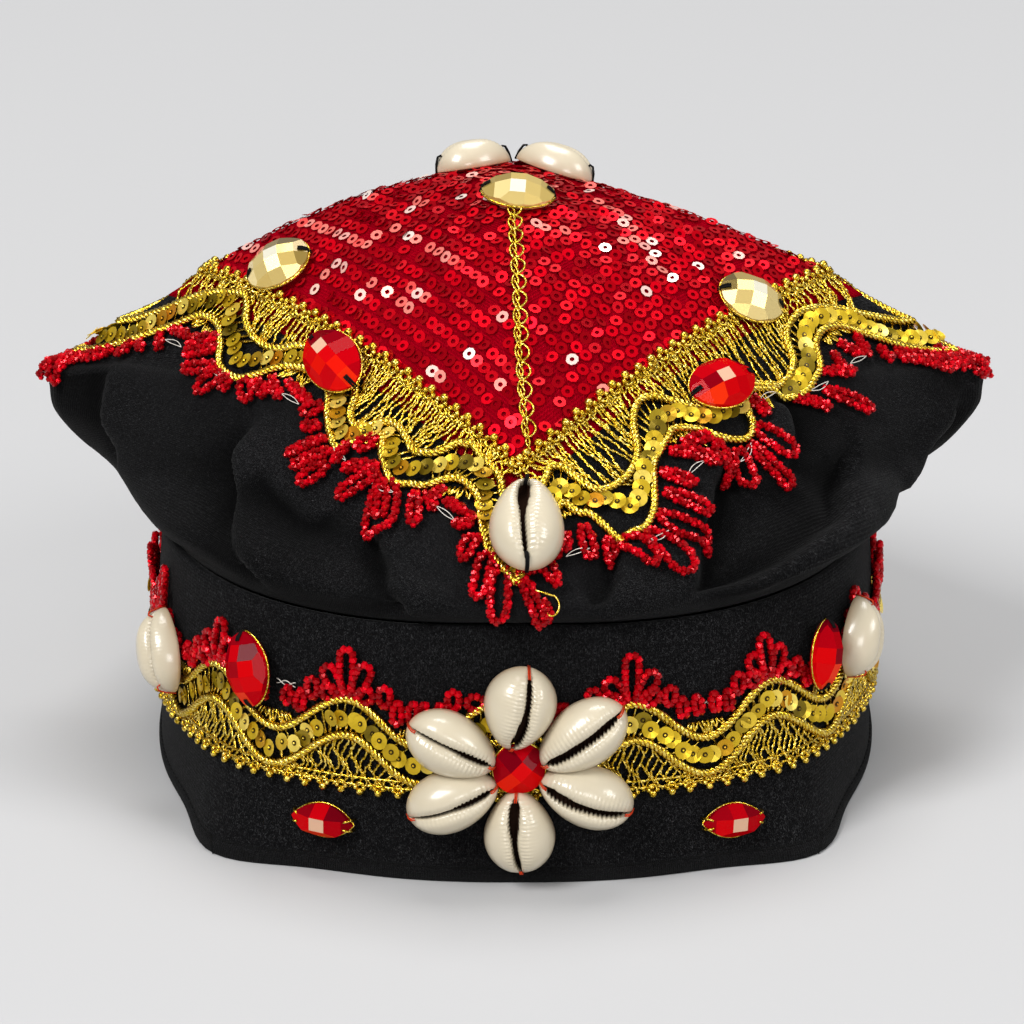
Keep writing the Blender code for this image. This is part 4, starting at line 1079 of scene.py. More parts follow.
for name, turn, lace in LACE_SIDES:
    outer_run, inner_run, links = (
        [(deg + turn, way) for deg, way in run] for run in (lace.outer, lace.inner, lace.links)
    )
    outer = laid(crown, outer_run, CORD_LIFT, CORD_STEP)
    inner = laid(crown, inner_run, CORD_LIFT, CORD_STEP)
    inner_line, inner_angle, inner_mark = inner
    plies = cord_plies(crown, *outer) + cord_plies(crown, *inner)
    sewn_on(threads("lace_cords_" + name, plies, CORD_PLY, gold_cord, 0), "gold_lace", "crown_lace_" + name)

    edge_angles = np.linspace(math.radians(outer_run[0][0]), math.radians(outer_run[-1][0]), EDGE_SAMPLES)
    edge_line = crown.at(edge_angles, np.full(EDGE_SAMPLES, lace.picot_way), NET_LIFT)
    edge_line, edge_angle = resampled(edge_line, PICOT_PITCH, edge_angles)
    strands = []
    fine_line, fine_angle = resampled(edge_line, PICOT_PITCH / STRANDS_PER_PICOT, edge_angle)
    along = unit(np.gradient(fine_line, axis=0))
    away = np.cross(along, crown.facing(fine_angle, np.full(len(fine_angle), lace.picot_way)))
    downward = crown.at(fine_angle, np.full(len(fine_angle), 1.3)) - fine_line
    away *= np.sign(np.einsum("ij,ij->i", away, downward))[:, None]
    share = np.linspace(0, 1, NET_SAMPLES)
    rounded = np.sin(share * math.pi)
    for k in range(len(fine_angle)):
        gaps = inner_line - fine_line[k]
        ahead = gaps @ away[k]
        beside = np.abs(gaps @ along[k])
        j = np.where(ahead > 0.0008, beside * 3 + ahead * 0.4, 1.0).argmin()
        wave = np.sin(share * math.pi * 3 + math.pi * k)
        sway = NET_SWAY * wave * chance.uniform(0.1, 1.4) * rounded
        lean = 0.02 * math.sin(k * 0.31) + 0.01 * math.sin(k * 0.83)
        turn_to = inner_angle[j] + lean + chance.normal(0, 0.006)
        start = fine_angle[k] + chance.normal(0, 0.005)
        marks = lace.picot_way + (inner_mark[j] - lace.picot_way) * share
        reach = reaches(crown.at(np.full(NET_SAMPLES, start), marks))
        angles = start + (turn_to - start) * reach / reach[-1] + sway
        line = crown.at(angles, marks, NET_LIFT + 0.0005 * rounded * chance.uniform(0.2, 1.4))
        line, angle, mark = resampled(line, NET_STEP, angles, marks)
        if len(line) > 3:
            strands += net_thread(crown, line, angle, mark, chance.uniform(0, 6))
    running, running_angle = resampled(edge_line, NET_STEP, edge_angle)
    ways = np.full(len(running), lace.picot_way)
    sunk = unit(crown.at(running_angle, ways + 0.045, NET_LIFT) - crown.at(running_angle, ways, NET_LIFT))
    turns = math.tau * np.arange(len(running)) * NET_STEP / PICOT_PITCH
    for phase in (0, math.pi):
        line = running + (EDGE_WAVE * np.sin(turns + phase) + EDGE_DROP)[:, None] * sunk
        strands += net_thread(crown, line, running_angle, ways)
    strands += crossings(crown, *inner, *outer)
    for deg, way in lace.fans:
        strands += hairpins(crown, deg + turn, way)
    net = threads("lace_net_" + name, strands, NET_THREAD, gold_thread, 0, NET_SWELL)
    sewn_on(net, "gold_lace", "crown_lace_" + name)
    faces = tipped(crown.facing(edge_angle, np.full(len(edge_angle), lace.picot_way)), PICOT_TIP, chance)
    places = places_on(edge_line, faces, np.gradient(edge_line, axis=0))
    picots = strewn("picots_" + name, picot_shape(LACE_PICOT_SIZE), places, gold_thread)
    sewn_on(picots, "gold_lace", "crown_lace_" + name)

    runs = [[(deg + turn, way) for deg, way in run] for run in lace.chains]
    chains = [laid(crown, run, CHAIN_LIFT, SEQUIN_CHAIN_STEP) for run in runs]
    discs = sequin_chain("lace_sequins_" + name, crown, chains, LACE_ROW)
    sewn_on(discs, "gold_lace", "crown_lace_" + name)

    loops = [
        (foot + turn, foot_way, tip + turn, tip_way, width / 1000, chance.uniform(0.0002, 0.0012))
        for foot, foot_way, tip, tip_way, width in lace.loops
    ]
    fringe = bead_loops("bead_fringe_" + name, crown, loops, red_glass, LACE_BEAD, LACE_BEAD_STEP, 2)
    sewn_on(fringe, "red_beads", "crown_fringe_" + name)

    strung, angle, mark = laid(crown, links, LINK_LIFT, LINK_STEP)
    strands = []
    for deg, way in links[1:-1]:
        at = np.linalg.norm(strung - crown.at(math.radians(deg), way, LINK_LIFT), axis=1).argmin()
        near = slice(max(at - LINK_SPAN, 0), at + LINK_SPAN + 1)
        bulge = np.sin(np.linspace(0, math.pi, len(strung[near])))[:, None]
        beside = unit(np.cross(crown.facing(angle[near], mark[near]), np.gradient(strung[near], axis=0)))
        strands += [strung[near] + offset * bulge * beside + 0.0002 for offset in (-LINK_BULGE, LINK_BULGE)]
    ties = threads("link_threads_" + name, strands, PALE_THREAD, pale_thread, 0)
    sewn_on(ties, "gold_lace", "crown_fringe_" + name)


# The band: an upright wall of the same cloth, its lower edge turned up inside and stitched. The front
# corners of the hem stand out.
BAND_TOP = 0.0617
BAND_SIDE_DIP = 0.073
BandRing = namedtuple("BandRing", "height side front power corner")
BAND_RINGS = (
    BandRing(BAND_TOP, 0.0880, 0.1007, 2.20, 0.0000),
    BandRing(0.0480, 0.0890, 0.1022, 2.35, 0.0000),
    BandRing(0.0300, 0.0893, 0.1035, 2.40, 0.0005),
    BandRing(0.0125, 0.0893, 0.1050, 2.45, 0.0040),
    BandRing(0.0000, 0.0896, 0.1066, 2.50, 0.0092),
)
HEM_CORNER_ANGLE = math.radians(38)
HEM_CORNER_WIDTH = math.radians(9)
HEM_STRIP, HEM_STEP, HEM_EDGE = 0.0030, 0.0007, 0.00012
HEM_ROUNDING, HEM_ROUND_HEIGHT = 0.0010, 0.0005
BAND_ROWS, HEM_ROWS = 22, 14
BAND_WALL = 0.0024
band_heights = np.array([ring.height for ring in BAND_RINGS][::-1])
band_sizes = np.array([ring[1:] for ring in BAND_RINGS][::-1])


def band_form(angle, height):
    """Points of the band's outer face."""
    side, front, power, corner = (np.interp(height, band_heights, band_sizes[:, k]) for k in range(4))
    turned = np.mod(angle + math.pi, math.tau) - math.pi
    reach = square_reach(angle, side, front, power)
    reach = reach + corner * np.exp(-(((np.abs(turned) - HEM_CORNER_ANGLE) / HEM_CORNER_WIDTH) ** 2))
    reach = reach + HEM_STEP * soft_step((height - HEM_STRIP) / HEM_EDGE)
    reach = reach - HEM_ROUNDING * np.exp(-np.maximum(height, 0) / HEM_ROUND_HEIGHT)
    return round_cap(angle, reach, height * (1 - BAND_SIDE_DIP * side_share(angle)))


hem_mark = BAND_TOP - HEM_STRIP - 0.001
hem_marks = np.linspace(hem_mark, BAND_TOP, HEM_ROWS)
band_marks = np.concatenate((np.linspace(0, hem_mark, BAND_ROWS), hem_marks[1:]))
band_angles = crown_angles[::2]
angle_grid, mark_grid = np.meshgrid(band_angles, band_marks)
band_points = band_form(angle_grid, BAND_TOP - mark_grid)
band_cloth = Cloth(band_angles, band_marks, band_points)
band = cloth_piece("band_cloth", band_points, BAND_WALL, black_cloth)
sewn_on(band, "black_cloth", "band")

STITCH_ANGLE, STITCH_STEP, STITCH_SAMPLES = 0.019, 0.0026, 900
STITCH_THREAD, STITCH_LIFT = 0.00017, 0.0002
STITCH_MARK = BAND_TOP - HEM_STRIP - 0.0004
thread_black, _ = new_material("thread_black", (0.007, 0.007, 0.007), 0.8, Specular_IOR_Level=0.04)
stitch_angles = np.linspace(0, math.tau, STITCH_SAMPLES)
seam = band_cloth.at(stitch_angles, np.full(STITCH_SAMPLES, STITCH_MARK))
seam, angle = resampled(seam, STITCH_STEP, stitch_angles)
stitches = []
for start in angle[:-1]:
    turn = start + np.linspace(0, 1, 4) * STITCH_ANGLE
    stitches.append(band_cloth.at(turn, np.full(4, STITCH_MARK), STITCH_LIFT * np.array((-1, 1, 1, -1))))
# At each front corner one longer stitch runs up and over the hem's step.
for corner in (-HEM_CORNER_ANGLE, HEM_CORNER_ANGLE):
    bent = corner + np.array((0.030, 0.022, 0.006, 0.0)) * np.sign(corner)
    heights = np.array((0.0038, 0.0030, 0.0015, 0.0003))
    stitches.append(band_cloth.at(bent, BAND_TOP - heights, np.full(4, STITCH_LIFT)))
hem_stitches = threads("hem_stitches", stitches, STITCH_THREAD, thread_black, 0)
sewn_on(hem_stitches, "black_cloth", "band")

# The gold lace round the band is the same trim upside down: picots below, scallops above, sequins
# between its two cords, and fans of bead loops that stand up from the scallops.
WAVE_CRESTS = (-64, -43, -21.6, -3, 14.7, 34.4, 57)
BACK_CRESTS = 11
UPPER_CORD_HEIGHT, LOWER_CORD_HEIGHT = 0.0380, 0.0292
CORD_WAVE = 0.0051
BAND_PICOT_HEIGHT = 0.0215
BAND_PICOTS = 146
ROUND_SAMPLES, BAND_NET_SAMPLES = 2400, 12
crests = list(WAVE_CRESTS)
spare = 360 + WAVE_CRESTS[0] - WAVE_CRESTS[-1]
crests += [WAVE_CRESTS[-1] + spare * (k + 1) / (BACK_CRESTS + 1) for k in range(BACK_CRESTS)]
crest_angles = np.radians(np.array(crests + [360 + WAVE_CRESTS[0]]))


def wave_at(angle):
    """How far the scallops' wave stands up, from -1 to 1, at an angle in radians."""
    start = crest_angles[0]
    angle = np.mod(angle - start, math.tau) + start
    phase = np.interp(angle, crest_angles, np.arange(len(crest_angles)))
    return np.cos(math.tau * phase)


round_angles = np.linspace(crest_angles[0], crest_angles[0] + math.tau, ROUND_SAMPLES)
plies, cord_routes = [], []
for height in (UPPER_CORD_HEIGHT, LOWER_CORD_HEIGHT):
    marks = BAND_TOP - height - CORD_WAVE * wave_at(round_angles)
    route = resampled(band_cloth.at(round_angles, marks, CORD_LIFT), CORD_STEP, round_angles, marks)
    plies += cord_plies(band_cloth, *route)
    cord_routes += route
sewn_on(threads("band_lace_cords", plies, CORD_PLY, gold_cord, 0), "gold_lace", "band_lace")

strands = crossings(band_cloth, *cord_routes)
picot_angles = np.linspace(0, math.tau, BAND_PICOTS, endpoint=False)
pace = math.tau / BAND_PICOTS
for k, base in enumerate(picot_angles):
    for j in (-0.375, -0.125, 0.125, 0.375):
        start = base + pace * j
        top = LOWER_CORD_HEIGHT + CORD_WAVE * wave_at(start)
        marks = np.linspace(BAND_TOP - BAND_PICOT_HEIGHT, BAND_TOP - top, BAND_NET_SAMPLES)
        angles = start + pace * 0.2 * np.sin(np.linspace(0, 1, BAND_NET_SAMPLES) * math.pi * 3 + j * 4 + k)
        line, angle, mark = resampled(band_cloth.at(angles, marks, NET_LIFT), NET_STEP, angles, marks)
        if len(line) > 3:
            strands += net_thread(band_cloth, line, angle, mark, chance.uniform(0, 6))
for height in (BAND_PICOT_HEIGHT + 0.0008, BAND_PICOT_HEIGHT + 0.0026):
    marks = np.full(ROUND_SAMPLES, BAND_TOP - height)
    line = band_cloth.at(round_angles, marks, NET_LIFT + 0.0003)
    strands += net_thread(band_cloth, *resampled(line, NET_STEP, round_angles, marks))
hairpin_mark = BAND_TOP - UPPER_CORD_HEIGHT + CORD_WAVE - HAIRPIN_LENGTH
for low, high in zip(crests[:-1], crests[1:]):
    strands += hairpins(band_cloth, (low + high) / 2, hairpin_mark)
net = threads("band_lace_net", strands, NET_THREAD, gold_thread, 0, NET_SWELL)
sewn_on(net, "gold_lace", "band_lace")
marks = np.full(BAND_PICOTS, BAND_TOP - BAND_PICOT_HEIGHT - 0.0006)
spots = band_cloth.at(picot_angles, marks, NET_LIFT)
heads = np.roll(spots, 1, axis=0) - np.roll(spots, -1, axis=0)
faces = tipped(band_cloth.facing(picot_angles, marks), PICOT_TIP, chance)
edging = strewn("band_picots", picot_shape(), places_on(spots, faces, heads), gold_thread)
sewn_on(edging, "gold_lace", "band_lace")

middle = (UPPER_CORD_HEIGHT + LOWER_CORD_HEIGHT) / 2
marks = BAND_TOP - middle - CORD_WAVE * wave_at(round_angles)
chain = resampled(band_cloth.at(round_angles, marks, CHAIN_LIFT), SEQUIN_CHAIN_STEP, round_angles, marks)
chains = [[along[:-1] for along in chain]]
discs = sequin_chain("band_sequins", band_cloth, chains, BAND_ROW)
sewn_on(discs, "gold_lace", "band_lace")

# The fans: each loop's heading in degrees from upright, and its length. The small loops beside a crest:
# how far aside they stand in degrees, how far up, and how wide they are. The flower hides some of them.
BAND_REACH = 0.103
FAN_LOOPS = ((-72, 0.0066), (-40, 0.0092), (-2, 0.0112), (33, 0.0092), (66, 0.0068))
SMALL_LOOPS = ((4.9, 0.0044, 0.0046), (6.6, -0.0044, 0.0040), (8.6, -0.0036, 0.0040))
FLOWER_CREST, FLOWER_COVERS = -3, 50
FAN_LOOP_WIDTH, FAN_FOOT, SMALL_LOOP_LIFT = 0.0052, 0.0022, 0.0008
BAND_BEAD, BAND_BEAD_STEP = 0.00098, 0.00136
loops = []
for crest in crests:
    foot = BAND_TOP - UPPER_CORD_HEIGHT - CORD_WAVE
    for heading, length in FAN_LOOPS:
        if crest == FLOWER_CREST and abs(heading) < FLOWER_COVERS:
            continue
        heading = math.radians(heading + chance.uniform(-5, 5))
        length = length * chance.uniform(0.88, 1.08)
        tip = crest + math.degrees(length * math.sin(heading) / BAND_REACH)
        start = crest + math.degrees(FAN_FOOT * math.sin(heading) / BAND_REACH)
        rise = length * math.cos(heading)
        loops.append((start, foot, tip, foot - rise, FAN_LOOP_WIDTH, chance.uniform(0.0003, 0.0016)))
    for off, rise, width in SMALL_LOOPS:
        start = foot + 0.0008 if rise > 0 else foot
        for beside in (-off, off):
            tip = crest + beside * chance.uniform(0.98, 1.06)
            top = start - rise * chance.uniform(0.9, 1.1)
            loops.append((crest + beside, start, tip, top, width, SMALL_LOOP_LIFT))
fringe = bead_loops("band_bead_fringe", band_cloth, loops, red_glass, BAND_BEAD, BAND_BEAD_STEP, 1)
sewn_on(fringe, "red_beads", "band_fringe")

BAND_LINKS = ((-30.8, 0.0440), (-13.1, 0.0413), (25.5, 0.0413))
LINK_REACH = 0.0027
BAND_LINK_LIFT = 0.0008
strands = []
for deg, height in BAND_LINKS:
    t = np.linspace(-1, 1, 9)
    for offset in (-LINK_BULGE, LINK_BULGE):
        angles = math.radians(deg) + t * LINK_REACH / BAND_REACH
        marks = BAND_TOP - height + offset * np.cos(math.pi * t)
        strands.append(band_cloth.at(angles, marks, BAND_LINK_LIFT))
ties = threads("band_link_threads", strands, BAND_PALE_THREAD, pale_thread, 0)
sewn_on(ties, "gold_lace", "band_fringe")

# The braid down the middle of the front: two gold threads sewn on in a chain, with a round of thread on
# the right of every stitch and a small one on the left.
BRAID_PLACES = ((-3, 0.13), (-1.5, 0.3), (0, 0.5), (0.6, 0.7), (1.4, 0.85), (2.2, 0.95))
BRAID_STITCH, BRAID_STEP, BRAID_LIFT = 0.0050, 0.0004, 0.0009
BRAID_SWAY, BRAID_RISE, BOW_RISE = 0.00045, 0.0003, 0.0004
RIGHT_BOW, LEFT_BOW = 0.0022, 0.0011
BRAID_THREAD = 0.00028
line, angle, mark = laid(crown, BRAID_PLACES, BRAID_LIFT, BRAID_STEP)
facing = crown.facing(angle, mark)
side = unit(np.cross(facing, np.gradient(line, axis=0)))
braid_lines = []
for phase in (0, math.pi):
    turns = (math.tau * (np.arange(len(line)) * BRAID_STEP) / BRAID_STITCH + phase)[:, None]
    braid_lines.append(line + BRAID_SWAY * np.sin(turns) * side + BRAID_RISE * np.cos(turns) * facing)
steps = int(BRAID_STITCH / BRAID_STEP)
for start in range(2, len(line) - steps - 2, steps):
    stitch = slice(start, start + steps + 1)
    half_turn = np.sin(np.linspace(0, 1, steps + 1) * math.pi)[:, None]
    for bow in (RIGHT_BOW, -LEFT_BOW):
        bowed = line[stitch] + bow * half_turn**0.6 * side[stitch]
        braid_lines.append(bowed + BOW_RISE * half_turn * facing[start])
# The braid's loose end lies below the front shell, in a loop.
TAIL_ANGLE, TAIL_WAY, TAIL_LOOP, TAIL_LIFT = math.radians(4.2), 3.50, 0.0018, 0.0016
TAIL_TURN, TAIL_STRETCH = math.tau * 0.85, 1.3
tail_down = unit(crown.at(TAIL_ANGLE, TAIL_WAY + 0.05) - crown.at(TAIL_ANGLE, TAIL_WAY))
tail_across = np.cross(crown.facing(TAIL_ANGLE, TAIL_WAY), tail_down)
t = np.linspace(0, TAIL_TURN, 24)[:, None]
ring = crown.at(TAIL_ANGLE, TAIL_WAY, TAIL_LIFT) + TAIL_LOOP * (
    np.sin(t) * tail_across - np.cos(t) * TAIL_STRETCH * tail_down
)
tail_start = ring[:1] - 0.0036 * tail_across - 0.0012 * tail_down
braid_lines.append(np.concatenate((tail_start, ring)))
sewn_on(threads("front_braid", braid_lines, BRAID_THREAD, gold_thread, 1), "gold_lace", "seam_braid")

# Cowrie shells, sewn on with the mouth outwards. A cowrie is egg-shaped and glossy. Its mouth is a long
# bent slit with teeth on one lip and ribs on the other. X runs to the narrow end, Z outwards.
OVER_CLOTH, OVER_EDGE, OVER_LACE, OVER_RIDGE = 0.0007, 0.0019, 0.0033, 0.0045
SHELL_ROUNDS, SHELL_STEPS = 48, 112
TEETH = 22
LIP_SOFTNESS = 0.00006
NARROW_FROM, NARROW_OVER = -0.15, 0.55
OPEN_GAP = 0.0005
LIP_WIDTH, LIP_FALL, MOUTH_FALL = 0.09, 0.13, 0.62
CROWDING = 0.82
FOOT_DEPTH = 0.10
RIM_HEIGHT = 0.42
# The lip with the teeth and the lip with the ribs: how far they bite into the mouth, how far out they
# reach as a share of the width, and how high they stand as a share of the height.
Ridges = namedtuple("Ridges", "bite reach height")
TOOTHED, RIBBED = Ridges(0.00066, 0.10, 0.070), Ridges(0.00016, 0.19, 0.050)
Mouth = namedtuple("Mouth", "near far bow")


def cowrie(length, width, height, mouth):
    """A cowrie shell round the origin. Its mouth has one width near the narrow end and one far from it, and
    bows aside by a share of the shell's width. The attribute mouth is 1 inside the mouth, where the colour
    is painted shade, and rim is 1 at the shell's edge."""
    bm = bmesh.new()
    lying = Matrix.Rotation(math.pi / 2, 4, "Y")
    bmesh.ops.create_uvsphere(bm, u_segments=SHELL_ROUNDS, v_segments=SHELL_STEPS, radius=1, matrix=lying)
    hollow = bm.verts.layers.float.new("mouth")
    rim = bm.verts.layers.float.new("rim")
    for vert in bm.verts:
        x = vert.co.x
        phi = math.atan2(vert.co.y, vert.co.z)
        end = (1 - x * x) ** 0.5
        half = width / 2 * end * (1 - 0.16 * x - 0.10 * x * x) * 1.02
        middle = width * mouth.bow * (1 - x * x)
        phi += middle / max(half, 0.001) * (1 + math.cos(phi)) / 2 - CROWDING * math.sin(phi)
        rise = height * max(1 - abs(x) ** 2.6, 0) ** 0.55
        y = half * math.copysign(abs(math.sin(phi)) ** 0.92, math.sin(phi))
        z = math.cos(phi) * (rise if math.cos(phi) > 0 else FOOT_DEPTH * height * end)
        vert[rim] = min(max(1 - z / (RIM_HEIGHT * height), 0), 1) ** 1.5
        if math.cos(phi) > 0:
            share = eased(min(max((x - NARROW_FROM) / NARROW_OVER, 0), 1))
            gap = (mouth.far + (mouth.near - mouth.far) * share) / 2
            gap *= min((1 + x) / 0.35, 1) * min(max((0.92 - x) / 0.20, 0), 1)
            tooth = 1 - abs(2 * math.fmod((x + 1) * TEETH / 2, 1) - 1)
            ridges = TOOTHED if y > middle else RIBBED
            off = abs(y - middle)
            opened = min(gap / OPEN_GAP, 1)
            edge = gap + ridges.bite * opened * (tooth - 0.4)
            inside = 1 / (1 + math.exp(max(min((off - edge) / LIP_SOFTNESS, 50), -50)))
            lip = math.exp(-((max(off - gap, 0) / (width * LIP_WIDTH)) ** 2))
            rib = opened * math.exp(-(((off - gap) / (width * ridges.reach)) ** 2))
            fade = max(1 - abs(x) ** 8, 0)
            z -= fade * height * (LIP_FALL * lip + MOUTH_FALL * inside)
            z += fade * height * ridges.height * rib * (tooth - 0.5) * (1 - inside)
            vert[hollow] = inside * fade
        vert.co = (x * length / 2, y, max(z, -FOOT_DEPTH * height))
    bmesh.ops.recalc_face_normals(bm, faces=bm.faces)
    return bm


SHELL_CREAM, SHELL_TAN, SHELL_MOUTH_SHADE = (0.56, 0.49, 0.36), (0.40, 0.21, 0.08), (0.024, 0.012, 0.008)
cowrie_enamel, surface = new_material("cowrie_enamel", SHELL_CREAM, 0.30, Coat_Roughness=0.16)
tree = cowrie_enamel.node_tree
shell_rim = node(tree, "ShaderNodeAttribute", attribute_name="rim")
shell_place = node(tree, "ShaderNodeTexCoord")
clouds = node(tree, "ShaderNodeTexNoise", Vector=shell_place.outputs["Object"], Scale=160.0, Detail=3.0)
patchy = node(tree, "ShaderNodeMath", operation="MULTIPLY", _0=shell_rim.outputs["Fac"])
feed(patchy, _1=clouds.outputs["Fac"])
outside = blend_colours(tree, patchy.outputs["Value"], SHELL_CREAM, SHELL_TAN)
# Painted shade: inside the mouth the colour goes nearly black and the gloss goes, for the shade deep in the
# slit.
mouth_shade = node(tree, "ShaderNodeAttribute", attribute_name="mouth")
mouth_share = node(tree, "ShaderNodeMapRange", From_Min=0.15, From_Max=0.45)
feed(mouth_share, Value=mouth_shade.outputs["Fac"])
feed(surface, Base_Color=blend_colours(tree, mouth_share.outputs["Result"], outside, SHELL_MOUTH_SHADE))
for shine, strength in (("Coat Weight", 0.6), ("Specular IOR Level", 0.5)):
    dulled = node(tree, "ShaderNodeMapRange", Value=mouth_share.outputs["Result"], To_Min=strength, To_Max=0)
    feed(surface, **{shine: dulled.outputs["Result"]})

Seated = namedtuple("Seated", "name cloth angle mark turn over length width height mouth")
SHELLS = (
    Seated("front_corner_shell", crown, 1.2, 1.66, 1, OVER_RIDGE, 0.0245, 0.0168, 0.0080,
           Mouth(0.0026, 0.0010, 0.09)),
    Seated("top_left_shell", crown, -133.0, 0.240, -58, OVER_CLOTH, 0.0188, 0.0126, 0.0070,
           Mouth(0.0008, 0.0006, 0.0)),
    Seated("top_right_shell", crown, 135.6, 0.229, 61, OVER_CLOTH, 0.0200, 0.0126, 0.0068,
           Mouth(0.0008, 0.0006, 0.0)),
    Seated("left_side_shell", band_cloth, -55.5, BAND_TOP - 0.0393, -26, OVER_LACE, 0.0206, 0.0140, 0.0080,
           Mouth(0.0005, 0.0004, -0.24)),
    Seated("right_side_shell", band_cloth, 52.3, BAND_TOP - 0.0450, 20, OVER_LACE, 0.0194, 0.0124, 0.0076,
           Mouth(0.0005, 0.0004, -0.05)),
)
# The flower: each petal's turn round the middle, how far out it lies, and where its narrow end aims.
FLOWER_ANGLE, FLOWER_HEIGHT = 0.4, 0.0291
Petal = namedtuple("Petal", "turn reach aim length width mouth")
PETALS = (
    Petal(0, 0.0142, 13, 0.0200, 0.0162, Mouth(0.0019, 0.0010, 0.10)),
    Petal(62.5, 0.0162, 54, 0.0232, 0.0147, Mouth(0.0018, 0.0016, 0.02)),
    Petal(113.5, 0.0167, 109, 0.0226, 0.0144, Mouth(0.0019, 0.0014, 0.11)),
    Petal(180, 0.0155, 176, 0.0198, 0.0160, Mouth(0.0022, 0.0010, 0.07)),
    Petal(243, 0.0171, 250, 0.0220, 0.0143, Mouth(0.0012, 0.0005, -0.04)),
    Petal(289.5, 0.0163, 297, 0.0222, 0.0146, Mouth(0.0012, 0.0005, 0.05)),
)
PETAL_HEIGHT = 0.0080


def moved_by(place, points):
    """These points, moved to a place on the cap, as one line."""
    return np.array([place @ Vector(point) for point in points])


SEWING_THREAD, FINE_THREAD, PAIR_GAP = 0.00028, 0.00016, 0.0002
# A shell's sewing thread: how far along its half length and up its height each bend lies. The first
# bend lies 0.3 mm below the shell's edge.
SEWN_ENDS = ((1.02, -0.0003), (0.985, 0.28), (0.92, 0.52), (0.84, 0.56), (0.76, 0.40))
centre = band_cloth.frame_at(math.radians(FLOWER_ANGLE), BAND_TOP - FLOWER_HEIGHT, OVER_LACE, 0)
shell_places = []
for shell in SHELLS:
    place = shell.cloth.frame_at(math.radians(shell.angle), shell.mark, shell.over, shell.turn)
    shell_places.append((shell.name, place, shell[6:9], shell.mouth))
for number, petal in enumerate(PETALS):
    wheel = Matrix.Rotation(math.radians(-petal.turn), 4, "Z") @ Matrix.Translation((petal.reach, 0, 0))
    aimed = Matrix.Rotation(math.radians(petal.turn - petal.aim + 180), 4, "Z")
    size = (petal.length, petal.width, PETAL_HEIGHT)
    shell_places.append(("flower_shell_%d" % (number + 1), centre @ wheel @ aimed, size, petal.mouth))
black_sewing, red_sewing = [], []
for name, place, (length, width, height), mouth in shell_places:
    bm = cowrie(length, width, height, mouth)
    bmesh.ops.transform(bm, matrix=place, verts=bm.verts)
    shell = piece("cowrie_" + name, bm, cowrie_enamel)
    sewn_on(shell, "cowrie", name)
    flower = name.startswith("flower")
    first, *rest = SEWN_ENDS[:4] if flower else SEWN_ENDS
    knots = [first] + [(x, z * height) for x, z in rest]
    sewing = red_sewing if flower or "side" in name else black_sewing
    for end, beside in ((1, -PAIR_GAP), (1, PAIR_GAP), (-1, -PAIR_GAP), (-1, PAIR_GAP)):
        bends = [(end * x * length / 2, beside + width * mouth.bow * (1 - x * x), z) for x, z in knots]
        sewing.append(moved_by(place, bends))
red_thread, _ = new_material("red_thread", (0.50, 0.04, 0.010), 0.6, Specular_IOR_Level=0.1)
sewing = threads("shell_threads_black", black_sewing, SEWING_THREAD, thread_black)
sewn_on(sewing, "black_cloth", "front_corner_shell")
sewing = threads("shell_threads_red", red_sewing, FINE_THREAD, red_thread)
sewn_on(sewing, "red_beads", "flower_shell_1")

# Sewn-on stones of cut glass. Each is cut in a chequer of small flat faces over a foil, and is held by
# thread through a hole at either end, or by claws.
STONE_CELL, ROW_SHARE, GRID_REACH, GRID_SHIFT = 0.0037, 0.86, 4, 0.2
DOME_DROP = 0.78
PINCH = 0.7
# The facets' painted light: a middle shade, how much darker they get upwards, the random spread, and the
# palest shade below a painted reflection.
FACET_SHADE, UPWARD_SHADE, DARKEST_FACET_LIGHT, PALEST_FACET_LIGHT, PALEST = 0.50, 0.26, -0.24, 0.30, 0.92


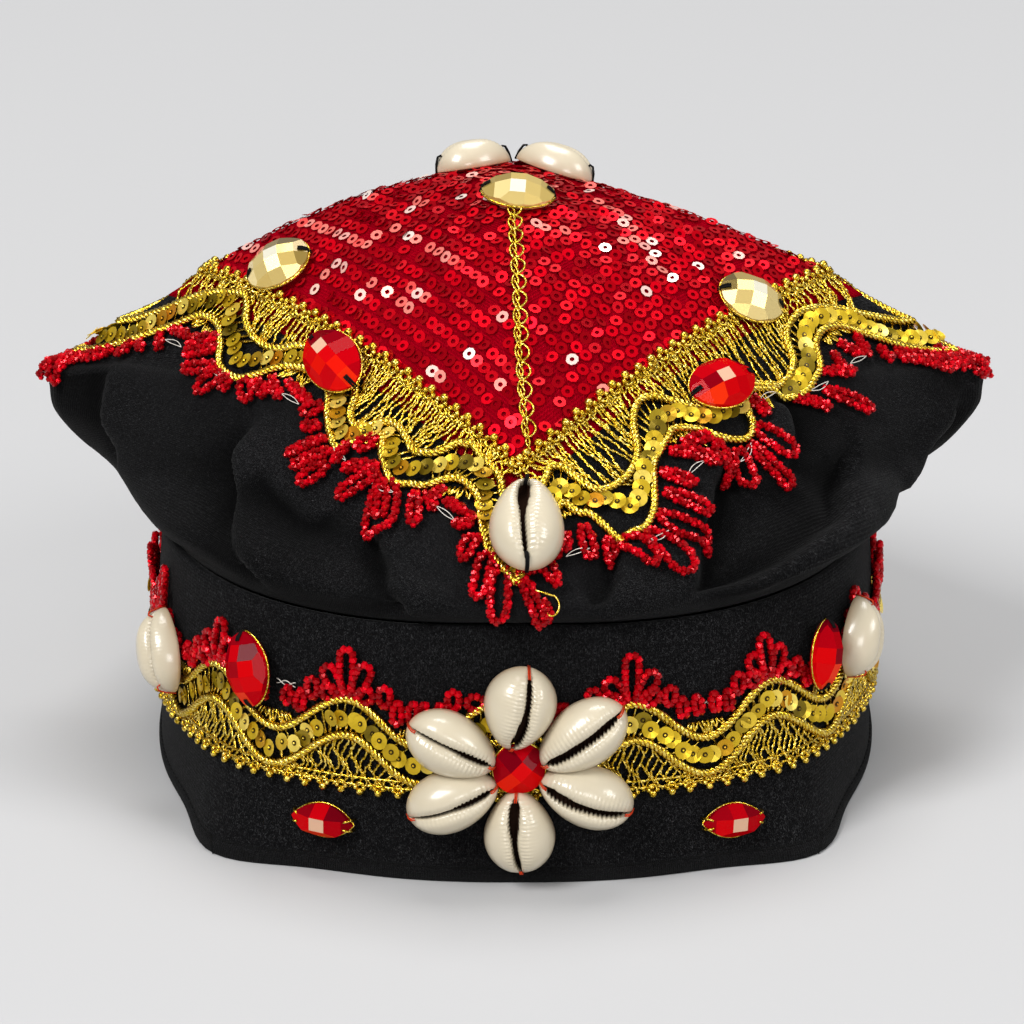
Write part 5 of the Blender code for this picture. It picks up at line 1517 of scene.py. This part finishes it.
def cut_stone(length, width, height, point, turn, seed, glint):
    """A low cut stone round the origin: a block trimmed by planes that touch a low dome. Each facet's shade
    is painted light for what it reflects: it varies at random, gets darker upwards as the stone hangs, and
    the one at the glint, right and up in metres, is a painted reflection of a lamp."""
    draw = np.random.default_rng(seed)
    bm = bmesh.new()
    outline = bmesh.ops.create_circle(bm, segments=28, radius=1, cap_ends=True)["verts"]
    for vert in outline:
        pinch = (1 - abs(vert.co.x) ** 2) ** ((point - 1) * PINCH)
        vert.co = (vert.co.x * length / 2, vert.co.y * width / 2 * pinch, 0)
    made = bmesh.ops.extrude_face_region(bm, geom=list(bm.faces))["geom"]
    raised = [item for item in made if isinstance(item, bmesh.types.BMVert)]
    bmesh.ops.translate(bm, verts=raised, vec=(0, 0, height * 1.2))
    shift = draw.uniform(-GRID_SHIFT, GRID_SHIFT, 2)
    cells = range(-GRID_REACH, GRID_REACH + 1)
    for row, column in itertools.product(cells, cells):
        x = (row + shift[0]) * STONE_CELL / length * 2
        y = (column + shift[1]) * STONE_CELL * ROW_SHARE / width * 2
        if math.hypot(x, y) > 1.0:
            continue
        slope = Vector((2 * x * DOME_DROP / (length / 2), 2 * y * DOME_DROP / (width / 2), 1 / height))
        spot = Vector((x * length / 2, y * width / 2, height * (1 - DOME_DROP * (x * x + y * y))))
        whole = bm.verts[:] + bm.edges[:] + bm.faces[:]
        cut = bmesh.ops.bisect_plane(
            bm, geom=whole, plane_co=spot, plane_no=slope.normalized(), clear_outer=True
        )
        rim = [item for item in cut["geom_cut"] if isinstance(item, bmesh.types.BMEdge)]
        if rim:
            bmesh.ops.holes_fill(bm, edges=rim, sides=0)
    bmesh.ops.remove_doubles(bm, verts=bm.verts, dist=2e-6)
    bmesh.ops.recalc_face_normals(bm, faces=bm.faces)
    facet = bm.loops.layers.float_color.new("facet")
    turn = math.radians(turn)
    rise = Vector((math.cos(turn), math.sin(turn), 0))
    aside = Vector((math.sin(turn), -math.cos(turn), 0))
    lit = None
    if glint:
        spot = glint[0] * aside + glint[1] * rise + Vector((0, 0, height))
        lit = min(bm.faces, key=lambda face: (face.calc_center_median() - spot).length)
    # Painted light: a random shade for each cell of the cutting grid, for what its facet reflects.
    facet_lights = draw.uniform(DARKEST_FACET_LIGHT, PALEST_FACET_LIGHT, (2 * GRID_REACH + 1, 2 * GRID_REACH + 1))
    for face in bm.faces:
        middle = face.calc_center_median()
        row = round(middle.x / STONE_CELL - shift[0])
        column = round(middle.y / (STONE_CELL * ROW_SHARE) - shift[1])
        row, column = (min(max(cell, -GRID_REACH), GRID_REACH) + GRID_REACH for cell in (row, column))
        # Painted shade: the upper facets are darker.
        upward = middle.dot(rise) / (width / 2)
        shade = min(max(FACET_SHADE - UPWARD_SHADE * upward + facet_lights[row, column], 0), PALEST)
        if face is lit:
            shade = 1.0
        for loop in face.loops:
            loop[facet] = (shade, shade, shade, 1)
    return bm


# The stones' colours go by the facets' painted light, dark to bright, and at 0.95 and above by the pale
# painted reflection of a lamp.
red_stone = toned("red_stone", (0.45, 0.0, 0.006), "facet", (
    (0.0, (0.075, 0.0, 0.004)), (0.30, (0.20, 0.0, 0.004)), (0.55, (0.44, 0.0, 0.003)),
    (0.80, (0.62, 0.003, 0.002)), (0.92, (0.74, 0.03, 0.004)), (0.95, (0.60, 0.36, 0.24)),
), 0.25, Specular_IOR_Level=0.0, Coat_Weight=0.08, Coat_Roughness=0.02)
gold_stone = toned("gold_stone", (0.60, 0.44, 0.11), "facet", (
    (0.0, (0.10, 0.065, 0.012)), (0.30, (0.34, 0.23, 0.05)), (0.6, (0.72, 0.52, 0.15)),
    (0.92, (0.93, 0.74, 0.32)), (0.95, (0.97, 0.93, 0.74)),
), 0.25, 0.5, Specular_IOR_Level=0.3, Coat_Weight=0.5, Coat_Roughness=0.03)
Stone = namedtuple("Stone", "name cloth angle mark turn over length width height point slot glint")
STONES = (
    Stone("top_stone", crown, 1.6, 0.200, -86, OVER_CLOTH, 0.0178,
          0.0134, 0.0050, 1.0, "gold_stone", (0.001, -0.002)),
    Stone("left_gold_stone", crown, -76.3, 0.86, 20, OVER_EDGE, 0.0168,
          0.0138, 0.0050, 1.0, "gold_stone", (-0.001, -0.0012)),
    Stone("right_gold_stone", crown, 68.3, 0.95, -34, OVER_EDGE, 0.0168,
          0.0134, 0.0050, 1.0, "gold_stone", (0.0, -0.0013)),
    Stone("left_lace_stone", crown, -42.9, 1.25, -66, OVER_RIDGE, 0.0192,
          0.0134, 0.0052, 1.12, "red_stone", (-0.003, 0.0008)),
    Stone("right_lace_stone", crown, 45.4, 1.88, -87, OVER_LACE, 0.0186,
          0.0130, 0.0052, 1.12, "red_stone", (0.0009, 0.0013)),
    Stone("left_band_stone", band_cloth, -35.6, BAND_TOP - 0.0460, -16, OVER_LACE, 0.0178,
          0.0126, 0.0052, 1.2, "red_stone", ()),
    Stone("right_band_stone", band_cloth, 43.6, BAND_TOP - 0.0455, 15, OVER_LACE, 0.0168,
          0.0098, 0.0048, 1.2, "red_stone", ()),
    Stone("left_hem_stone", band_cloth, -24.4, BAND_TOP - 0.0125, -88, OVER_CLOTH, 0.0152,
          0.0080, 0.0046, 1.5, "red_stone", (0.0, 0.0012)),
    Stone("right_hem_stone", band_cloth, 27.7, BAND_TOP - 0.0114, -87, OVER_CLOTH, 0.0152,
          0.0080, 0.0046, 1.5, "red_stone", (-0.0006, 0.0012)),
    Stone("flower_stone", band_cloth, 0.4, BAND_TOP - 0.0291, 45, OVER_LACE, 0.0124,
          0.0118, 0.0044, 1.0, "red_stone", ()),
)
RIM_THREAD, RIM_LIFT, RIM_SIZE, RIM_STEPS = 0.00028, 0.0005, 1.005, 49
# A claw's bends: how far along, aside and up. A thread's bends: how far along, and a share of the height.
CLAW = (
    (0.50, 0.0013, -0.0004), (0.49, 0.0013, 0.0012), (0.44, 0.0012, 0.0023), (0.38, 0.0009, 0.0028),
)
HOLE_THREAD, THREAD_ASIDE = ((0.39, 0.56), (0.44, 0.46), (0.49, 0.24), (0.515, -0.05)), 0.0003
gold_rims, stone_sewing = [], []
for number, stone in enumerate(STONES):
    place = stone.cloth.frame_at(math.radians(stone.angle), stone.mark, stone.over, stone.turn)
    bm = cut_stone(stone.length, stone.width, stone.height, stone.point, stone.turn, number, stone.glint)
    bmesh.ops.transform(bm, matrix=place, verts=bm.verts)
    glass = red_stone if stone.slot == "red_stone" else gold_stone
    sewn_on(piece("cut_" + stone.name, bm, glass, smooth=False), stone.slot, stone.name)
    rim = []
    for turn in np.linspace(0, math.tau, RIM_STEPS):
        pinch = max(math.sin(turn) ** 2, 1e-9) ** ((stone.point - 1) * PINCH)
        x, y = math.cos(turn) * stone.length / 2, math.sin(turn) * stone.width / 2 * pinch
        rim.append((x * RIM_SIZE, y * RIM_SIZE, RIM_LIFT))
    gold_rims.append(moved_by(place, rim))
    for end, beside in ((1, -1), (1, 1), (-1, -1), (-1, 1)):
        along = end * stone.length
        if stone.name.endswith("hem_stone"):
            gold_rims.append(moved_by(place, [(along * x, beside * y, z) for x, y, z in CLAW]))
        elif stone.name != "flower_stone":
            bends = [(along * x, beside * THREAD_ASIDE, z * stone.height + 0.0002) for x, z in HOLE_THREAD]
            stone_sewing.append(moved_by(place, bends))
rims = threads("stone_rims", gold_rims, RIM_THREAD, gold_thread)
sewn_on(rims, "gold_lace", *(stone.name for stone in STONES))
sewing = threads("stone_threads", stone_sewing, SEWING_THREAD, thread_black)
sewn_on(sewing, "black_cloth", *(stone.name for stone in STONES if "lace" in stone.name))
